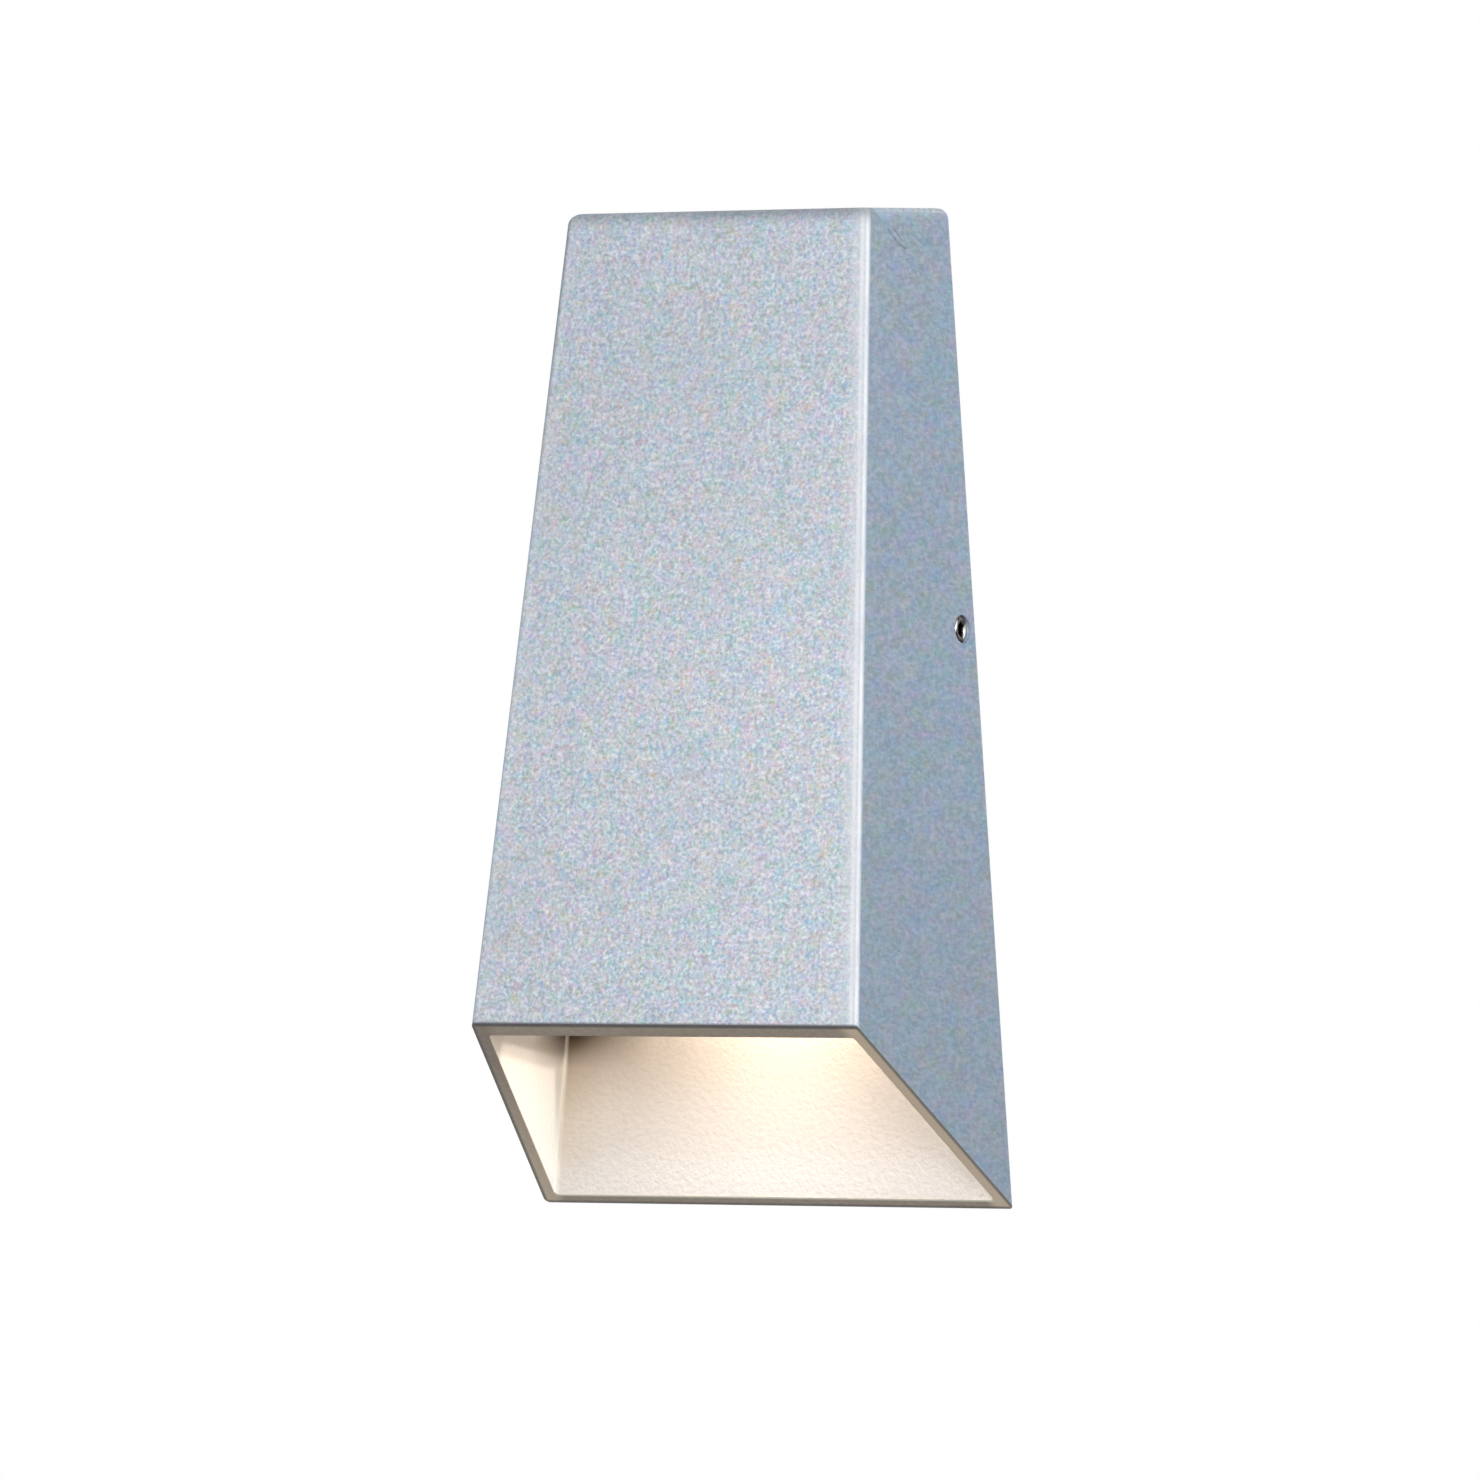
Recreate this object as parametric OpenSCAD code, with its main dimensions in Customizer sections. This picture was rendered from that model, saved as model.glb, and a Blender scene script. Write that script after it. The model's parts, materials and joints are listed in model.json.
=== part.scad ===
// Up-down wall light. A tapered cast housing slides over a bracket on the wall,
// and a set screw in each side holds it.
// One light unit shines down out of the slanted mouth, the other shines up through a window in the top.
// X is to the right, Y is towards the wall, whose face is y = 0, and Z is up.
// The origin is the middle of the bracket's fixing slots, on the wall and level with the set screws.
// A height is counted up from the lowest edge of the housing, and a depth is counted out from the wall.

/* [Housing] */
// Height of the housing
height = 180; // [176:1:200]
// Width of the back at the top
top_back_w = 67.2; // [66.5:0.1:74]
// Width of the back at the lowest edge
low_back_w = 94.5; // [92:0.1:104]
// Width of the front at the top
top_front_w = 60.1; // [59:0.1:66]
// Depth of the top
top_depth = 26.3; // [26:0.1:30]
// Depth of the front's lower edge
lip_depth = 47.3; // [46:0.1:54]
// Height of the front's lower edge
lip_h = 32.8; // [26:0.1:36]
// Thickness of the side walls
side_wall = 2.6; // [2.2:0.1:2.8]
// Thickness of the front wall, measured level
front_wall = 3.2; // [2.6:0.1:3.6]
// Thickness of the wall behind the mouth
back_wall = 2.2; // [1.8:0.1:3]
// How much lower the top is at its front than at the wall
top_fall = 1; // [0.6:0.1:1.2]
// Radius of the upright front edges
edge_r = 0.9; // [0.5:0.1:1.4]
// Radius of the upright edges next to the wall
back_edge_r = 1; // [0.5:0.1:1.4]
// Radius of the edges round the top
top_edge_r = 2; // [1.2:0.1:2.4]
// Radius in the corners of the mouth
mouth_r = 0.8; // [0.5:0.1:2]
// Radius in the corners of the rear chamber
inner_r = 2; // [1:0.1:3]

/* [Chambers] */
// Height of the ceiling over the mouth
ceiling_h = 46; // [44.5:0.1:47]
// Metal between the lower light unit and the rear chamber
low_partition_t = 5.4; // [4.6:0.1:6]
// Metal between the rear chamber and the upper light unit
top_partition_t = 7; // [6.4:0.1:7.6]
// Depth of the ledge that the rear cover is seated on
ledge_depth = 14; // [13.8:0.1:14.6]
// Width of that ledge
ledge_w = 2.6; // [2.2:0.1:3]
// Radius in the upright corners of the recess behind the cover
recess_r = 0.3; // [0.1:0.05:0.3]

/* [Wall bracket] */
// Gap between each ear and the boss of its set screw
ear_gap = 1.7; // [1.5:0.1:2.7]
// Gap between the plate's lower edge and the recess round it
plate_gap = 4.5; // [2:0.5:6]
// Thickness of the sheet
sheet_t = 2; // [1.5:0.1:2.5]
// Height of the ears
ear_h = 30; // [26:1:36]
// How far the ears stand out from the wall
ear_depth = 10.4; // [10.3:0.1:10.7]
// Radius outside the bends
bend_r = 3; // [2.6:0.1:3.4]
// Radius of the plate's corners
plate_corner_r = 4; // [2:0.5:6]
// Diameter of the hole for the supply cable
cable_hole_d = 22; // [18:0.5:24]
// Width of the fixing slots
slot_w = 5; // [4:0.1:5.5]
// Length of the fixing slots, end to end
slot_l = 12; // [9:0.5:12]
// Metal between a level slot's end and the edge of the plate
slot_edge_across = 3; // [2:0.5:4]
// Metal between an upright slot's end and the edge of the plate
slot_edge_upright = 6; // [4:0.5:9]

/* [Set screws] */
// How far the set screws lie under the middle of the recess behind the housing
set_screw_drop = 3.55; // [2.05:0.5:5.05]
// Depth of the set screws
set_screw_depth = 4.9; // [4.7:0.1:5.4]
// Diameter of the set screws
set_screw_d = 5; // [4:0.5:5]
// Length of the set screws
set_screw_l = 6; // [5:0.5:6]
// Width of the hexagon socket, across its flats
socket_w = 2.5; // [2:0.5:2.5]
// Depth of the hexagon socket
socket_depth = 2.4; // [1.5:0.1:3]
// Diameter of the boss round each set screw
set_boss_d = 9; // [8:0.1:9.2]
// Thickness of metal that each set screw runs through
set_boss_t = 5; // [4:0.1:6]
// Gap between a set screw's point and the bracket
point_gap = 0.3; // [0.2:0.1:0.5]

/* [Rear cover] */
// Thickness of the rear cover
cover_t = 1.5; // [1.2:0.1:1.8]
// Thickness of its gasket
gasket_t = 1; // [0.8:0.1:1.2]
// Gap between the cover's edge and the housing
cover_gap = 0.4; // [0.3:0.1:0.6]
// Width of the gasket
gasket_w = 3; // [2.5:0.1:3.2]
// Distance of the cover's screws from the edges of its recess
cover_screw_edge = 5.5; // [5.2:0.1:6]
// Radius of the bosses for the cover's screws
cover_boss_r = 3.5; // [3:0.1:3.8]
// Bore of the cable grommet
cable_d = 7; // [6:0.5:8]
// Diameter of the hole that the grommet is fitted in
grommet_hole_d = 14; // [12.5:0.5:15]
// Diameter of the grommet's flanges
grommet_d = 18; // [17:0.5:19]
// Thickness of the grommet's flanges
grommet_flange_t = 1.4; // [1:0.1:1.4]

/* [Light units] */
// Size of the lower window from side to side
low_window_w = 28; // [26:0.1:30]
// Gap between the frame under the lower glass and the walls in front of it and behind it
frame_gap = 1.8; // [1:0.1:2.2]
// Distance of the lower chips' middles from the edge of their board
low_chip_inset = 3.5; // [3:0.1:4.5]
// Thickness of the frame under the lower glass
frame_t = 2; // [1.5:0.1:2.4]
// Distance of the upper window from each front corner of the top
top_window_side = 8.05; // [7.55:0.1:8.55]
// Distance of the upper window from the back, and from the rounding of the front
top_window_edge = 4.9; // [4.75:0.05:5.15]
// Distance between the chips of the upper light unit, from side to side
top_chip_pitch = 14; // [12:0.1:16]
// Depth of the upper light unit's pocket, from the top of the housing
top_pocket_h = 20; // [18:0.1:21]
// How far the upper glass lies under the top of the housing, at its front side
top_glass_sink = 0.4; // [0.4:0.1:1]
// Thickness of both glass panes
glass_t = 3; // [2.5:0.1:3.5]
// Thickness of the gaskets of the glass panes
pane_gasket_t = 0.8; // [0.6:0.1:1]
// Height of the reflector of the lower light unit
low_reflector_h = 5; // [4.5:0.1:5.5]
// Thickness of the circuit boards
board_t = 1.6; // [1.2:0.1:1.8]
// Size of a light-emitting chip
chip_w = 3.5; // [3:0.1:4]
// Thickness of a light-emitting chip
chip_t = 0.7; // [0.5:0.1:0.9]

/* [Driver] */
// Width of the driver's case
driver_w = 42; // [41.5:0.1:44]
// Height of the driver's case
driver_h = 34; // [33.5:0.1:34.5]
// Gap between the driver's case and the front wall
driver_gap = 2.64; // [2.44:0.1:3.14]
// Wall of the driver's case
driver_wall = 1.2; // [1:0.1:1.4]
// Reach of the driver's lugs
lug_w = 7; // [6.6:0.1:7.4]
// Height of the driver's lugs
lug_h = 9; // [8:0.5:12]
// Thickness of the driver's lugs
lug_t = 2; // [1.6:0.1:2.4]

/* [Terminal block] */
// Distance between the terminal block's poles
pole_pitch = 8.5; // [8.3:0.1:8.8]
// Height of the terminal block
terminal_h = 17; // [16:0.5:18]
// Gap between the terminal block's top edge and the front wall
terminal_gap = 0.37; // [0.1:0.01:0.6]
// Outer diameter of the brass sleeves
sleeve_d = 5.4; // [5:0.1:5.6]
// Inner diameter of the brass sleeves
sleeve_bore_d = 3.2; // [2.8:0.1:3.4]

/* [Screws and leads] */
// Diameter of the small screws
screw_d = 3; // [2.5:0.1:3.1]
// Diameter of the small screws' heads
head_d = 5.4; // [5:0.1:5.5]
// Thickness of the small screws' heads
head_t = 1.8; // [1.5:0.1:1.9]
// Diameter of the earth screws
earth_screw_d = 4; // [3.5:0.1:4]
// Diameter of the earth screws' heads
earth_head_d = 7; // [6.5:0.1:7.4]
// Diameter of the leads
lead_d = 1.8; // [1.4:0.1:2]
// Radial gap round a screw in its thread
thread_gap = 0.05; // [0.02:0.01:0.08]

/* [Hidden] */
$fn = 48;

// How far a cut runs past the face that it opens
overrun = 1;
// Thickness of the slices that the tapered shapes are drawn between
slice = 0.01;
// Gap round a piece that is laid in a pocket
fit_gap = 0.3;

// How much wider each side gets for every unit of height and of depth
flare_up = (low_back_w - top_back_w) / 2 / height;
flare_out = (top_back_w - top_front_w) / 2 / top_depth;
side_slope = cos(atan(flare_out));
mouth_angle = atan2(lip_h, lip_depth);
function half_w(depth, h) = top_back_w / 2 + flare_up * (height - h) - flare_out * depth;
function front_depth(h) = top_depth + (lip_depth - top_depth) * (height - h) / (height - lip_h);
function front_face(h) = front_depth(h) - front_wall;
function top_face_h(depth) = height - top_fall * depth / top_depth;

// Lower light unit, from the ceiling up
low_glass_top = ceiling_h + pane_gasket_t + glass_t;
low_board_h = low_glass_top + low_reflector_h + fit_gap;
low_seat_h = low_board_h + board_t;
low_unit_depth = (back_wall + front_face(ceiling_h)) / 2;
// Rim on which each side of a pane is carried, and widths of what is stacked over it
pane_rim = 3;
frame_rim = 5;
frame_d = front_face(ceiling_h) - back_wall - 2 * frame_gap;
low_window_d = frame_d - frame_rim - 4 * pane_rim;
low_pocket_w = low_window_w + 2 * pane_rim;
low_pocket_d = low_window_d + 2 * pane_rim;
low_glass_w = low_pocket_w + 2 * pane_rim;
low_glass_d = low_pocket_d + 2 * pane_rim;
low_board_w = 26;
low_board_gap = 2.2;
low_board_d = low_pocket_d - 2 * low_board_gap;
low_chip_pitch = low_board_d - 2 * low_chip_inset;
frame_w = low_glass_w + 2 * frame_rim;
frame_screw_x = low_glass_w / 2 + frame_rim / 2 + fit_gap;
frame_screw_step = low_glass_d / 2 - screw_d;
low_board_screw_x = 9.5;
frame_screw_l = 6;
board_screw_l = 5;

// Rear chamber
chamber_h0 = low_seat_h + low_partition_t;
chamber_h1 = height - top_pocket_h - top_partition_t;
recess_h0 = chamber_h0 - ledge_w;
recess_h1 = chamber_h1 + ledge_w;
ledge_wall = side_wall + ledge_w;
cover_depth = ledge_depth - gasket_t - cover_t;
function recess_half(h) = half_w(ledge_depth, h) - side_wall;
set_screw_h = (recess_h0 + recess_h1) / 2 - set_screw_drop;
cover_screw_hs = [recess_h0 + cover_screw_edge, recess_h1 - cover_screw_edge];
cover_screw_l = 8;

// Upper light unit, from the floor of its pocket up
top_floor_h = height - top_pocket_h;
top_unit_depth = (top_depth - top_edge_r) / 2;
top_pane_rim = 2;
top_window_w = top_front_w - 2 * top_window_side;
top_window_d = top_depth - top_edge_r - 2 * top_window_edge;
top_glass_w = top_window_w + 2 * pane_rim;
top_glass_d = top_window_d + 2 * top_pane_rim;
top_glass_top = top_face_h(top_unit_depth + top_glass_d / 2 + fit_gap) - top_glass_sink;
top_glass_h = top_glass_top - glass_t;
top_rim_h = top_glass_h - pane_gasket_t;
top_board_gap = 0.5;
top_board_w = top_window_w - 2 * top_board_gap;
top_board_edge = 1.25;
top_board_d = top_window_d - 2 * top_board_edge;
top_board_screw_x = 13.6;
reflector_wall = 0.8;
top_lead_depth = top_unit_depth + top_board_d / 2 - lead_d;

// Driver
driver_lift = 3;
driver_back_gap = 2;
driver_h0 = chamber_h0 + driver_lift;
driver_h1 = driver_h0 + driver_h;
driver_depth = ledge_depth + driver_back_gap;
driver_front = front_face(driver_h1) - driver_gap;
driver_mid_h = (driver_h0 + driver_h1) / 2;
driver_screw_x = driver_w / 2 + lug_w / 2;
driver_pillar_r = 3.2;
driver_screw_l = 5;
driver_board_gap = 1.7;
driver_board_depth = driver_front - driver_wall - driver_board_gap - board_t;
driver_room = driver_board_depth - driver_depth - driver_wall;
driver_post_r = 1.4;
driver_post_inset = 3;
connector_gap = 3.3;
connector_t = driver_room - connector_gap;
connector_h = 6;
connector_rim = 2;
lead_depth = driver_board_depth - connector_t / 2;
lead_hole_gap = 0.25;
low_lead_x = 2;
top_lead_xs = [-17, -14.5];

// Terminal block and earth lug
earth_drop = 12;
earth_lift = 12;
earth_h = chamber_h1 - earth_drop;
terminal_h1 = earth_h - earth_lift;
terminal_h0 = terminal_h1 - terminal_h;
terminal_mid_h = (terminal_h0 + terminal_h1) / 2;
terminal_w = 3 * pole_pitch;
terminal_t = 2 * (front_face(terminal_h1) - terminal_gap - lead_depth);
terminal_depth = lead_depth - terminal_t / 2;
terminal_front = terminal_depth + terminal_t;
terminal_screw_d = 2;
terminal_head_d = 3.4;
terminal_head_t = 1.2;
terminal_pad_h = 8;
terminal_pad_w = pole_pitch + terminal_pad_h;
clamp_screw_d = 2.8;
clamp_screw_l = 3.4;
clamp_step = terminal_h / 4;
lead_insert = 3;
earth_lug_t = 0.8;
earth_lug_depth = lead_depth + earth_lug_t / 2;
earth_pillar_r = 4;
earth_screw_l = 5;
earth_head_t = 2;
earth_barrel_r = 1.6;
earth_barrel_l = 5;
bend_steps = 5;
lead_bend_r = 3;

// Set screws and the earth screw of the bracket
set_boss_face = half_w(set_screw_depth, set_screw_h) - set_boss_t;
ear_face = set_boss_face - ear_gap;
set_screw_x0 = ear_face + point_gap;
plate_w = 2 * (ear_face - bend_r);
plate_h = 2 * (set_screw_h - recess_h0 - plate_gap);
slot_pitch_across = plate_w - slot_l - 2 * slot_edge_across;
slot_pitch_upright = plate_h - slot_l - 2 * slot_edge_upright;
plate_earth_gap = 1;
plate_earth_drop = set_boss_d / 2 + earth_head_d / 2 + plate_earth_gap;
plate_earth_l = 4;
plate_earth_depth = bend_r + earth_head_d / 2 + fit_gap;

// A box, and round bars that stand up, run out from the wall or lie from left to right
module block(x0, x1, depth0, depth1, h0, h1) {
    translate([x0, -depth1, h0])
        cube([x1 - x0, depth1 - depth0, h1 - h0]);
}

module middle_block(w, depth, d, h0, h1) {
    block(-w / 2, w / 2, depth - d / 2, depth + d / 2, h0, h1);
}

module upright_bar(x, depth, h0, h1, r) {
    translate([x, -depth, h0])
        cylinder(r = r, h = h1 - h0);
}

module out_bar(x, h, depth0, depth1, r) {
    translate([x, -depth0, h])
        rotate([90, 0, 0])
            cylinder(r = r, h = depth1 - depth0);
}

module side_bar(x0, x1, depth, h, r) {
    translate([x0, -depth, h])
        rotate([0, 90, 0])
            cylinder(r = r, h = x1 - x0);
}

// A flat shape drawn as seen from behind, standing between two depths
module upright_sheet(depth0, depth1) {
    translate([0, -depth0, 0])
        rotate([90, 0, 0])
            linear_extrude(depth1 - depth0)
                children();
}

module both_sides() {
    children();
    mirror([1, 0, 0])
        children();
}

// Moves a piece that is drawn from the lowest edge to the part's own origin
module placed() {
    translate([0, 0, -set_screw_h])
        children();
}

// A screw with its head under z = 0 and its shank up from there, with a cross recess
module screw(d, l, head_w, head_h) {
    recess_w = head_h / 2;
    recess_l = head_w / 2;
    difference() {
        union() {
            translate([0, 0, -head_h])
                cylinder(d = head_w, h = head_h);
            cylinder(d = d, h = l);
        }
        for (turn = [0, 90])
            rotate([0, 0, turn])
                translate([-recess_l / 2, -recess_w / 2, -head_h - overrun])
                    cube([recess_l, recess_w, recess_w + overrun]);
    }
}

// The same screw with its head's underside at a given place, driven out from the wall, up or down
module screw_out(x, h, depth, d, l, head_w, head_h) {
    translate([x, -depth, h])
        rotate([90, 0, 0])
            screw(d, l, head_w, head_h);
}

module screw_up(x, depth, h, l) {
    translate([x, -depth, h])
        screw(screw_d, l, head_d, head_t);
}

module screw_down(x, depth, h, l) {
    translate([x, -depth, h])
        rotate([180, 0, 0])
            screw(screw_d, l, head_d, head_t);
}

// One corner of a tapered shape, rounded, at a distance of wall from the housing's sides
module corner(side, depth, h, wall, r) {
    translate([side * (half_w(depth, h) - wall - r / side_slope), -depth, h])
        cylinder(r = r, h = slice, $fn = 32);
}

// The hollow between two heights, as deep at each as it is told and as wide as the walls leave
module tapered_hollow(h0, h1, depth0, front0, front1, wall, r) {
    hull()
        for (side = [-1, 1]) {
            corner(side, depth0 + r, h0, wall, r);
            corner(side, front0 - r, h0, wall, r);
            corner(side, depth0 + r, h1 - slice, wall, r);
            corner(side, front1 - r, h1 - slice, wall, r);
        }
}

// The corners of the outside at a height, drawn in by the rounding of the top, the front ones lower by fall
module outside_slice(h, inset, fall) {
    front = front_depth(h - fall) - inset - edge_r;
    for (side = [-1, 1]) {
        corner(side, front, h - fall, inset, edge_r);
        corner(side, back_edge_r, h, inset, back_edge_r);
    }
}

module outside() {
    hull() {
        outside_slice(0, 0, 0);
        for (turn = [0 : 15 : 90])
            outside_slice(height - top_edge_r * (1 - sin(turn)) - slice, top_edge_r * (1 - cos(turn)),
                top_fall);
    }
}

// Everything under the slanted plane of the mouth
module below_mouth() {
    reach = low_back_w;
    rotate([-mouth_angle, 0, 0])
        translate([-reach, -reach, -reach])
            cube([2 * reach, reach + overrun, reach]);
}

module mouth_hollow() {
    h0 = -overrun;
    tapered_hollow(h0, ceiling_h, back_wall, front_face(h0), front_face(ceiling_h),
        side_wall, mouth_r);
}

module rear_recess() {
    tapered_hollow(recess_h0, recess_h1, -overrun, ledge_depth, ledge_depth,
        side_wall, recess_r);
}

module rear_chamber() {
    tapered_hollow(chamber_h0, chamber_h1, ledge_depth - overrun - inner_r,
        front_face(chamber_h0), front_face(chamber_h1), ledge_wall, inner_r);
}

// The solid parts that stand in the hollows and grow out of the walls
module bosses() {
    reach = lip_depth;
    for (h = cover_screw_hs)
        both_sides()
            out_bar(recess_half(h) - cover_screw_edge, h, ledge_depth, reach, cover_boss_r);
    both_sides() {
        side_bar(set_boss_face, low_back_w / 2, set_screw_depth, set_screw_h, set_boss_d / 2);
        out_bar(driver_screw_x, driver_mid_h, driver_front, reach, driver_pillar_r);
    }
    block(-terminal_pad_w / 2, terminal_pad_w / 2, terminal_front, reach,
        terminal_mid_h - terminal_pad_h / 2, terminal_mid_h + terminal_pad_h / 2);
    out_bar(pole_pitch, earth_h, earth_lug_depth, reach, earth_pillar_r);
}

module low_unit_pocket() {
    middle_block(low_glass_w + 2 * fit_gap, low_unit_depth, low_glass_d + 2 * fit_gap,
        ceiling_h - overrun, low_glass_top);
    middle_block(low_pocket_w, low_unit_depth, low_pocket_d, ceiling_h, low_seat_h);
    both_sides() {
        for (step = [-frame_screw_step, frame_screw_step])
            upright_bar(frame_screw_x, low_unit_depth + step, ceiling_h - overrun,
                ceiling_h - frame_t + frame_screw_l + fit_gap, screw_d / 2 + thread_gap);
        upright_bar(low_board_screw_x, low_unit_depth, low_seat_h - overrun,
            low_board_h + board_screw_l + fit_gap, screw_d / 2 + thread_gap);
        upright_bar(low_lead_x, lead_depth, low_seat_h - overrun, chamber_h0 + overrun,
            lead_d / 2 + lead_hole_gap);
    }
}

module top_unit_pocket() {
    middle_block(top_glass_w + 2 * fit_gap, top_unit_depth, top_glass_d + 2 * fit_gap,
        top_rim_h, height + overrun);
    middle_block(top_window_w, top_unit_depth, top_window_d, top_floor_h, height);
    both_sides()
        upright_bar(top_board_screw_x, top_unit_depth, top_floor_h + board_t - board_screw_l - fit_gap,
            top_floor_h + overrun, screw_d / 2 + thread_gap);
    for (x = top_lead_xs)
        upright_bar(x, top_lead_depth, chamber_h1 - overrun, top_floor_h + overrun,
            lead_d / 2 + lead_hole_gap);
}

module tapped_holes() {
    r = screw_d / 2 + thread_gap;
    for (h = cover_screw_hs)
        both_sides()
            out_bar(recess_half(h) - cover_screw_edge, h, ledge_depth - overrun,
                cover_depth + cover_screw_l + fit_gap, r);
    both_sides() {
        side_bar(set_boss_face - overrun, low_back_w / 2, set_screw_depth, set_screw_h,
            set_screw_d / 2 + thread_gap);
        out_bar(driver_screw_x, driver_mid_h, driver_front - overrun,
            driver_front - lug_t + driver_screw_l + fit_gap, r);
        out_bar(pole_pitch / 2, terminal_mid_h, terminal_front - overrun,
            terminal_front + lead_insert, terminal_screw_d / 2 + thread_gap);
    }
    out_bar(pole_pitch, earth_h, earth_lug_depth - overrun,
        earth_lug_depth - earth_lug_t + earth_screw_l + fit_gap, earth_screw_d / 2 + thread_gap);
}

module housing() {
    color([0.72, 0.75, 0.79])
        placed()
            difference() {
                intersection() {
                    outside();
                    union() {
                        difference() {
                            block(-low_back_w, low_back_w, 0, low_back_w, 0, height);
                            mouth_hollow();
                            rear_recess();
                            rear_chamber();
                        }
                        bosses();
                    }
                }
                below_mouth();
                low_unit_pocket();
                top_unit_pocket();
                tapped_holes();
            }
}

module slot(length, width) {
    straight = length - width;
    square([straight, width], center = true);
    for (end = [-1, 1])
        translate([end * straight / 2, 0])
            circle(d = width);
}

module plate_outline() {
    straight_w = plate_w - 2 * plate_corner_r;
    straight_h = plate_h - 2 * plate_corner_r;
    square([plate_w, straight_h], center = true);
    square([straight_w, plate_h], center = true);
    for (x = [-1, 1], y = [-1, 1])
        translate([x * straight_w / 2, y * straight_h / 2])
            circle(r = plate_corner_r);
}

// The bracket's channel as seen from above: the plate between two ears, with round bends
module ear_outline() {
    inner_bend = bend_r - sheet_t;
    difference() {
        union() {
            translate([bend_r - ear_face, -ear_depth])
                square([2 * (ear_face - bend_r), ear_depth]);
            translate([-ear_face, -ear_depth])
                square([2 * ear_face, ear_depth - bend_r]);
            for (side = [-1, 1])
                translate([side * (ear_face - bend_r), -bend_r])
                    circle(r = bend_r);
        }
        translate([bend_r - ear_face, -ear_depth - overrun])
            square([2 * (ear_face - bend_r), ear_depth + overrun - sheet_t]);
        translate([sheet_t - ear_face, -ear_depth - overrun])
            square([2 * (ear_face - sheet_t), ear_depth + overrun - sheet_t - inner_bend]);
        for (side = [-1, 1])
            translate([side * (ear_face - bend_r), -bend_r])
                circle(r = inner_bend);
    }
}

module wall_bracket() {
    color([0.62, 0.64, 0.66])
        difference() {
            union() {
                upright_sheet(0, sheet_t)
                    plate_outline();
                translate([0, 0, -ear_h / 2])
                    linear_extrude(ear_h)
                        ear_outline();
            }
            upright_sheet(-overrun, sheet_t + overrun) {
                circle(d = cable_hole_d);
                for (side = [-1, 1]) {
                    translate([side * slot_pitch_across / 2, 0])
                        slot(slot_l, slot_w);
                    translate([0, side * slot_pitch_upright / 2])
                        rotate(90)
                            slot(slot_l, slot_w);
                }
            }
            side_bar(-ear_face - overrun, overrun - ear_face + sheet_t, plate_earth_depth, -plate_earth_drop,
                earth_screw_d / 2 + thread_gap);
        }
}

module bracket_earth_screw() {
    color([0.80, 0.68, 0.36])
        translate([sheet_t - ear_face, -plate_earth_depth, -plate_earth_drop])
            rotate([0, -90, 0])
                screw(earth_screw_d, plate_earth_l, earth_head_d, earth_head_t);
}

// A set screw with a hexagon socket and a cupped point, for the right side
module set_screw() {
    cup_depth = set_screw_d / 6;
    translate([set_screw_x0, -set_screw_depth, 0])
        rotate([0, 90, 0])
            difference() {
                cylinder(d = set_screw_d, h = set_screw_l);
                translate([0, 0, set_screw_l - socket_depth])
                    cylinder(d = socket_w / cos(30), h = socket_depth + overrun, $fn = 6);
                translate([0, 0, -slice])
                    cylinder(d1 = set_screw_d / 2, d2 = 0, h = cup_depth);
            }
}

module right_set_screw() {
    color([0.55, 0.55, 0.56])
        set_screw();
}

module left_set_screw() {
    color([0.55, 0.55, 0.56])
        mirror([1, 0, 0])
            set_screw();
}

// The cover as seen from behind, a trapezium with cut corners, drawn in by inset
function cover_outline(inset) =
    let (
        edge = cover_gap + inset,
        h0 = recess_h0 + edge,
        h1 = recess_h1 - edge,
        w0 = recess_half(h0) - edge,
        w1 = recess_half(h1) - edge,
        cut = inner_r
    )
    [[cut - w0, h0], [w0 - cut, h0], [w0, h0 + cut], [w1, h1 - cut],
     [w1 - cut, h1], [cut - w1, h1], [-w1, h1 - cut], [-w0, h0 + cut]];

module cover_holes() {
    for (h = cover_screw_hs)
        both_sides()
            translate([recess_half(h) - cover_screw_edge, h])
                circle(r = screw_d / 2 + thread_gap);
}

module rear_cover() {
    color([0.70, 0.71, 0.72])
        placed()
            upright_sheet(cover_depth, cover_depth + cover_t)
                difference() {
                    polygon(cover_outline(0));
                    cover_holes();
                    translate([0, set_screw_h])
                        circle(d = grommet_hole_d);
                }
}

module rear_cover_gasket() {
    color([0.12, 0.12, 0.12])
        placed()
            upright_sheet(cover_depth + cover_t, ledge_depth)
                difference() {
                    polygon(cover_outline(0));
                    difference() {
                        polygon(cover_outline(gasket_w));
                        for (h = cover_screw_hs)
                            both_sides()
                                translate([recess_half(h) - cover_screw_edge, h])
                                    circle(r = cover_boss_r);
                    }
                    cover_holes();
                }
}

module rear_cover_screws() {
    color([0.75, 0.75, 0.76])
        placed()
            for (h = cover_screw_hs, side = [-1, 1])
                screw_out(side * (recess_half(h) - cover_screw_edge), h, cover_depth,
                    screw_d, cover_screw_l, head_d, head_t);
}

module cable_grommet() {
    neck_r = grommet_hole_d / 2;
    front = cover_depth + cover_t;
    color([0.10, 0.10, 0.10])
        difference() {
            union() {
                out_bar(0, 0, cover_depth - grommet_flange_t, cover_depth, grommet_d / 2);
                out_bar(0, 0, cover_depth, front, neck_r);
                out_bar(0, 0, front, front + grommet_flange_t, grommet_d / 2);
            }
            out_bar(0, 0, cover_depth - grommet_flange_t - overrun,
                front + grommet_flange_t + overrun, cable_d / 2);
        }
}

// A funnel between two rectangles inside a plain block
module reflector(w, d, h0, h1, narrow_w, narrow_d, narrow_h, wide_w, wide_d, wide_h, depth) {
    difference() {
        middle_block(w, depth, d, h0, h1);
        hull() {
            middle_block(narrow_w, depth, narrow_d, narrow_h - slice, narrow_h);
            middle_block(wide_w, depth, wide_d, wide_h, wide_h + slice);
        }
    }
}

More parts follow.
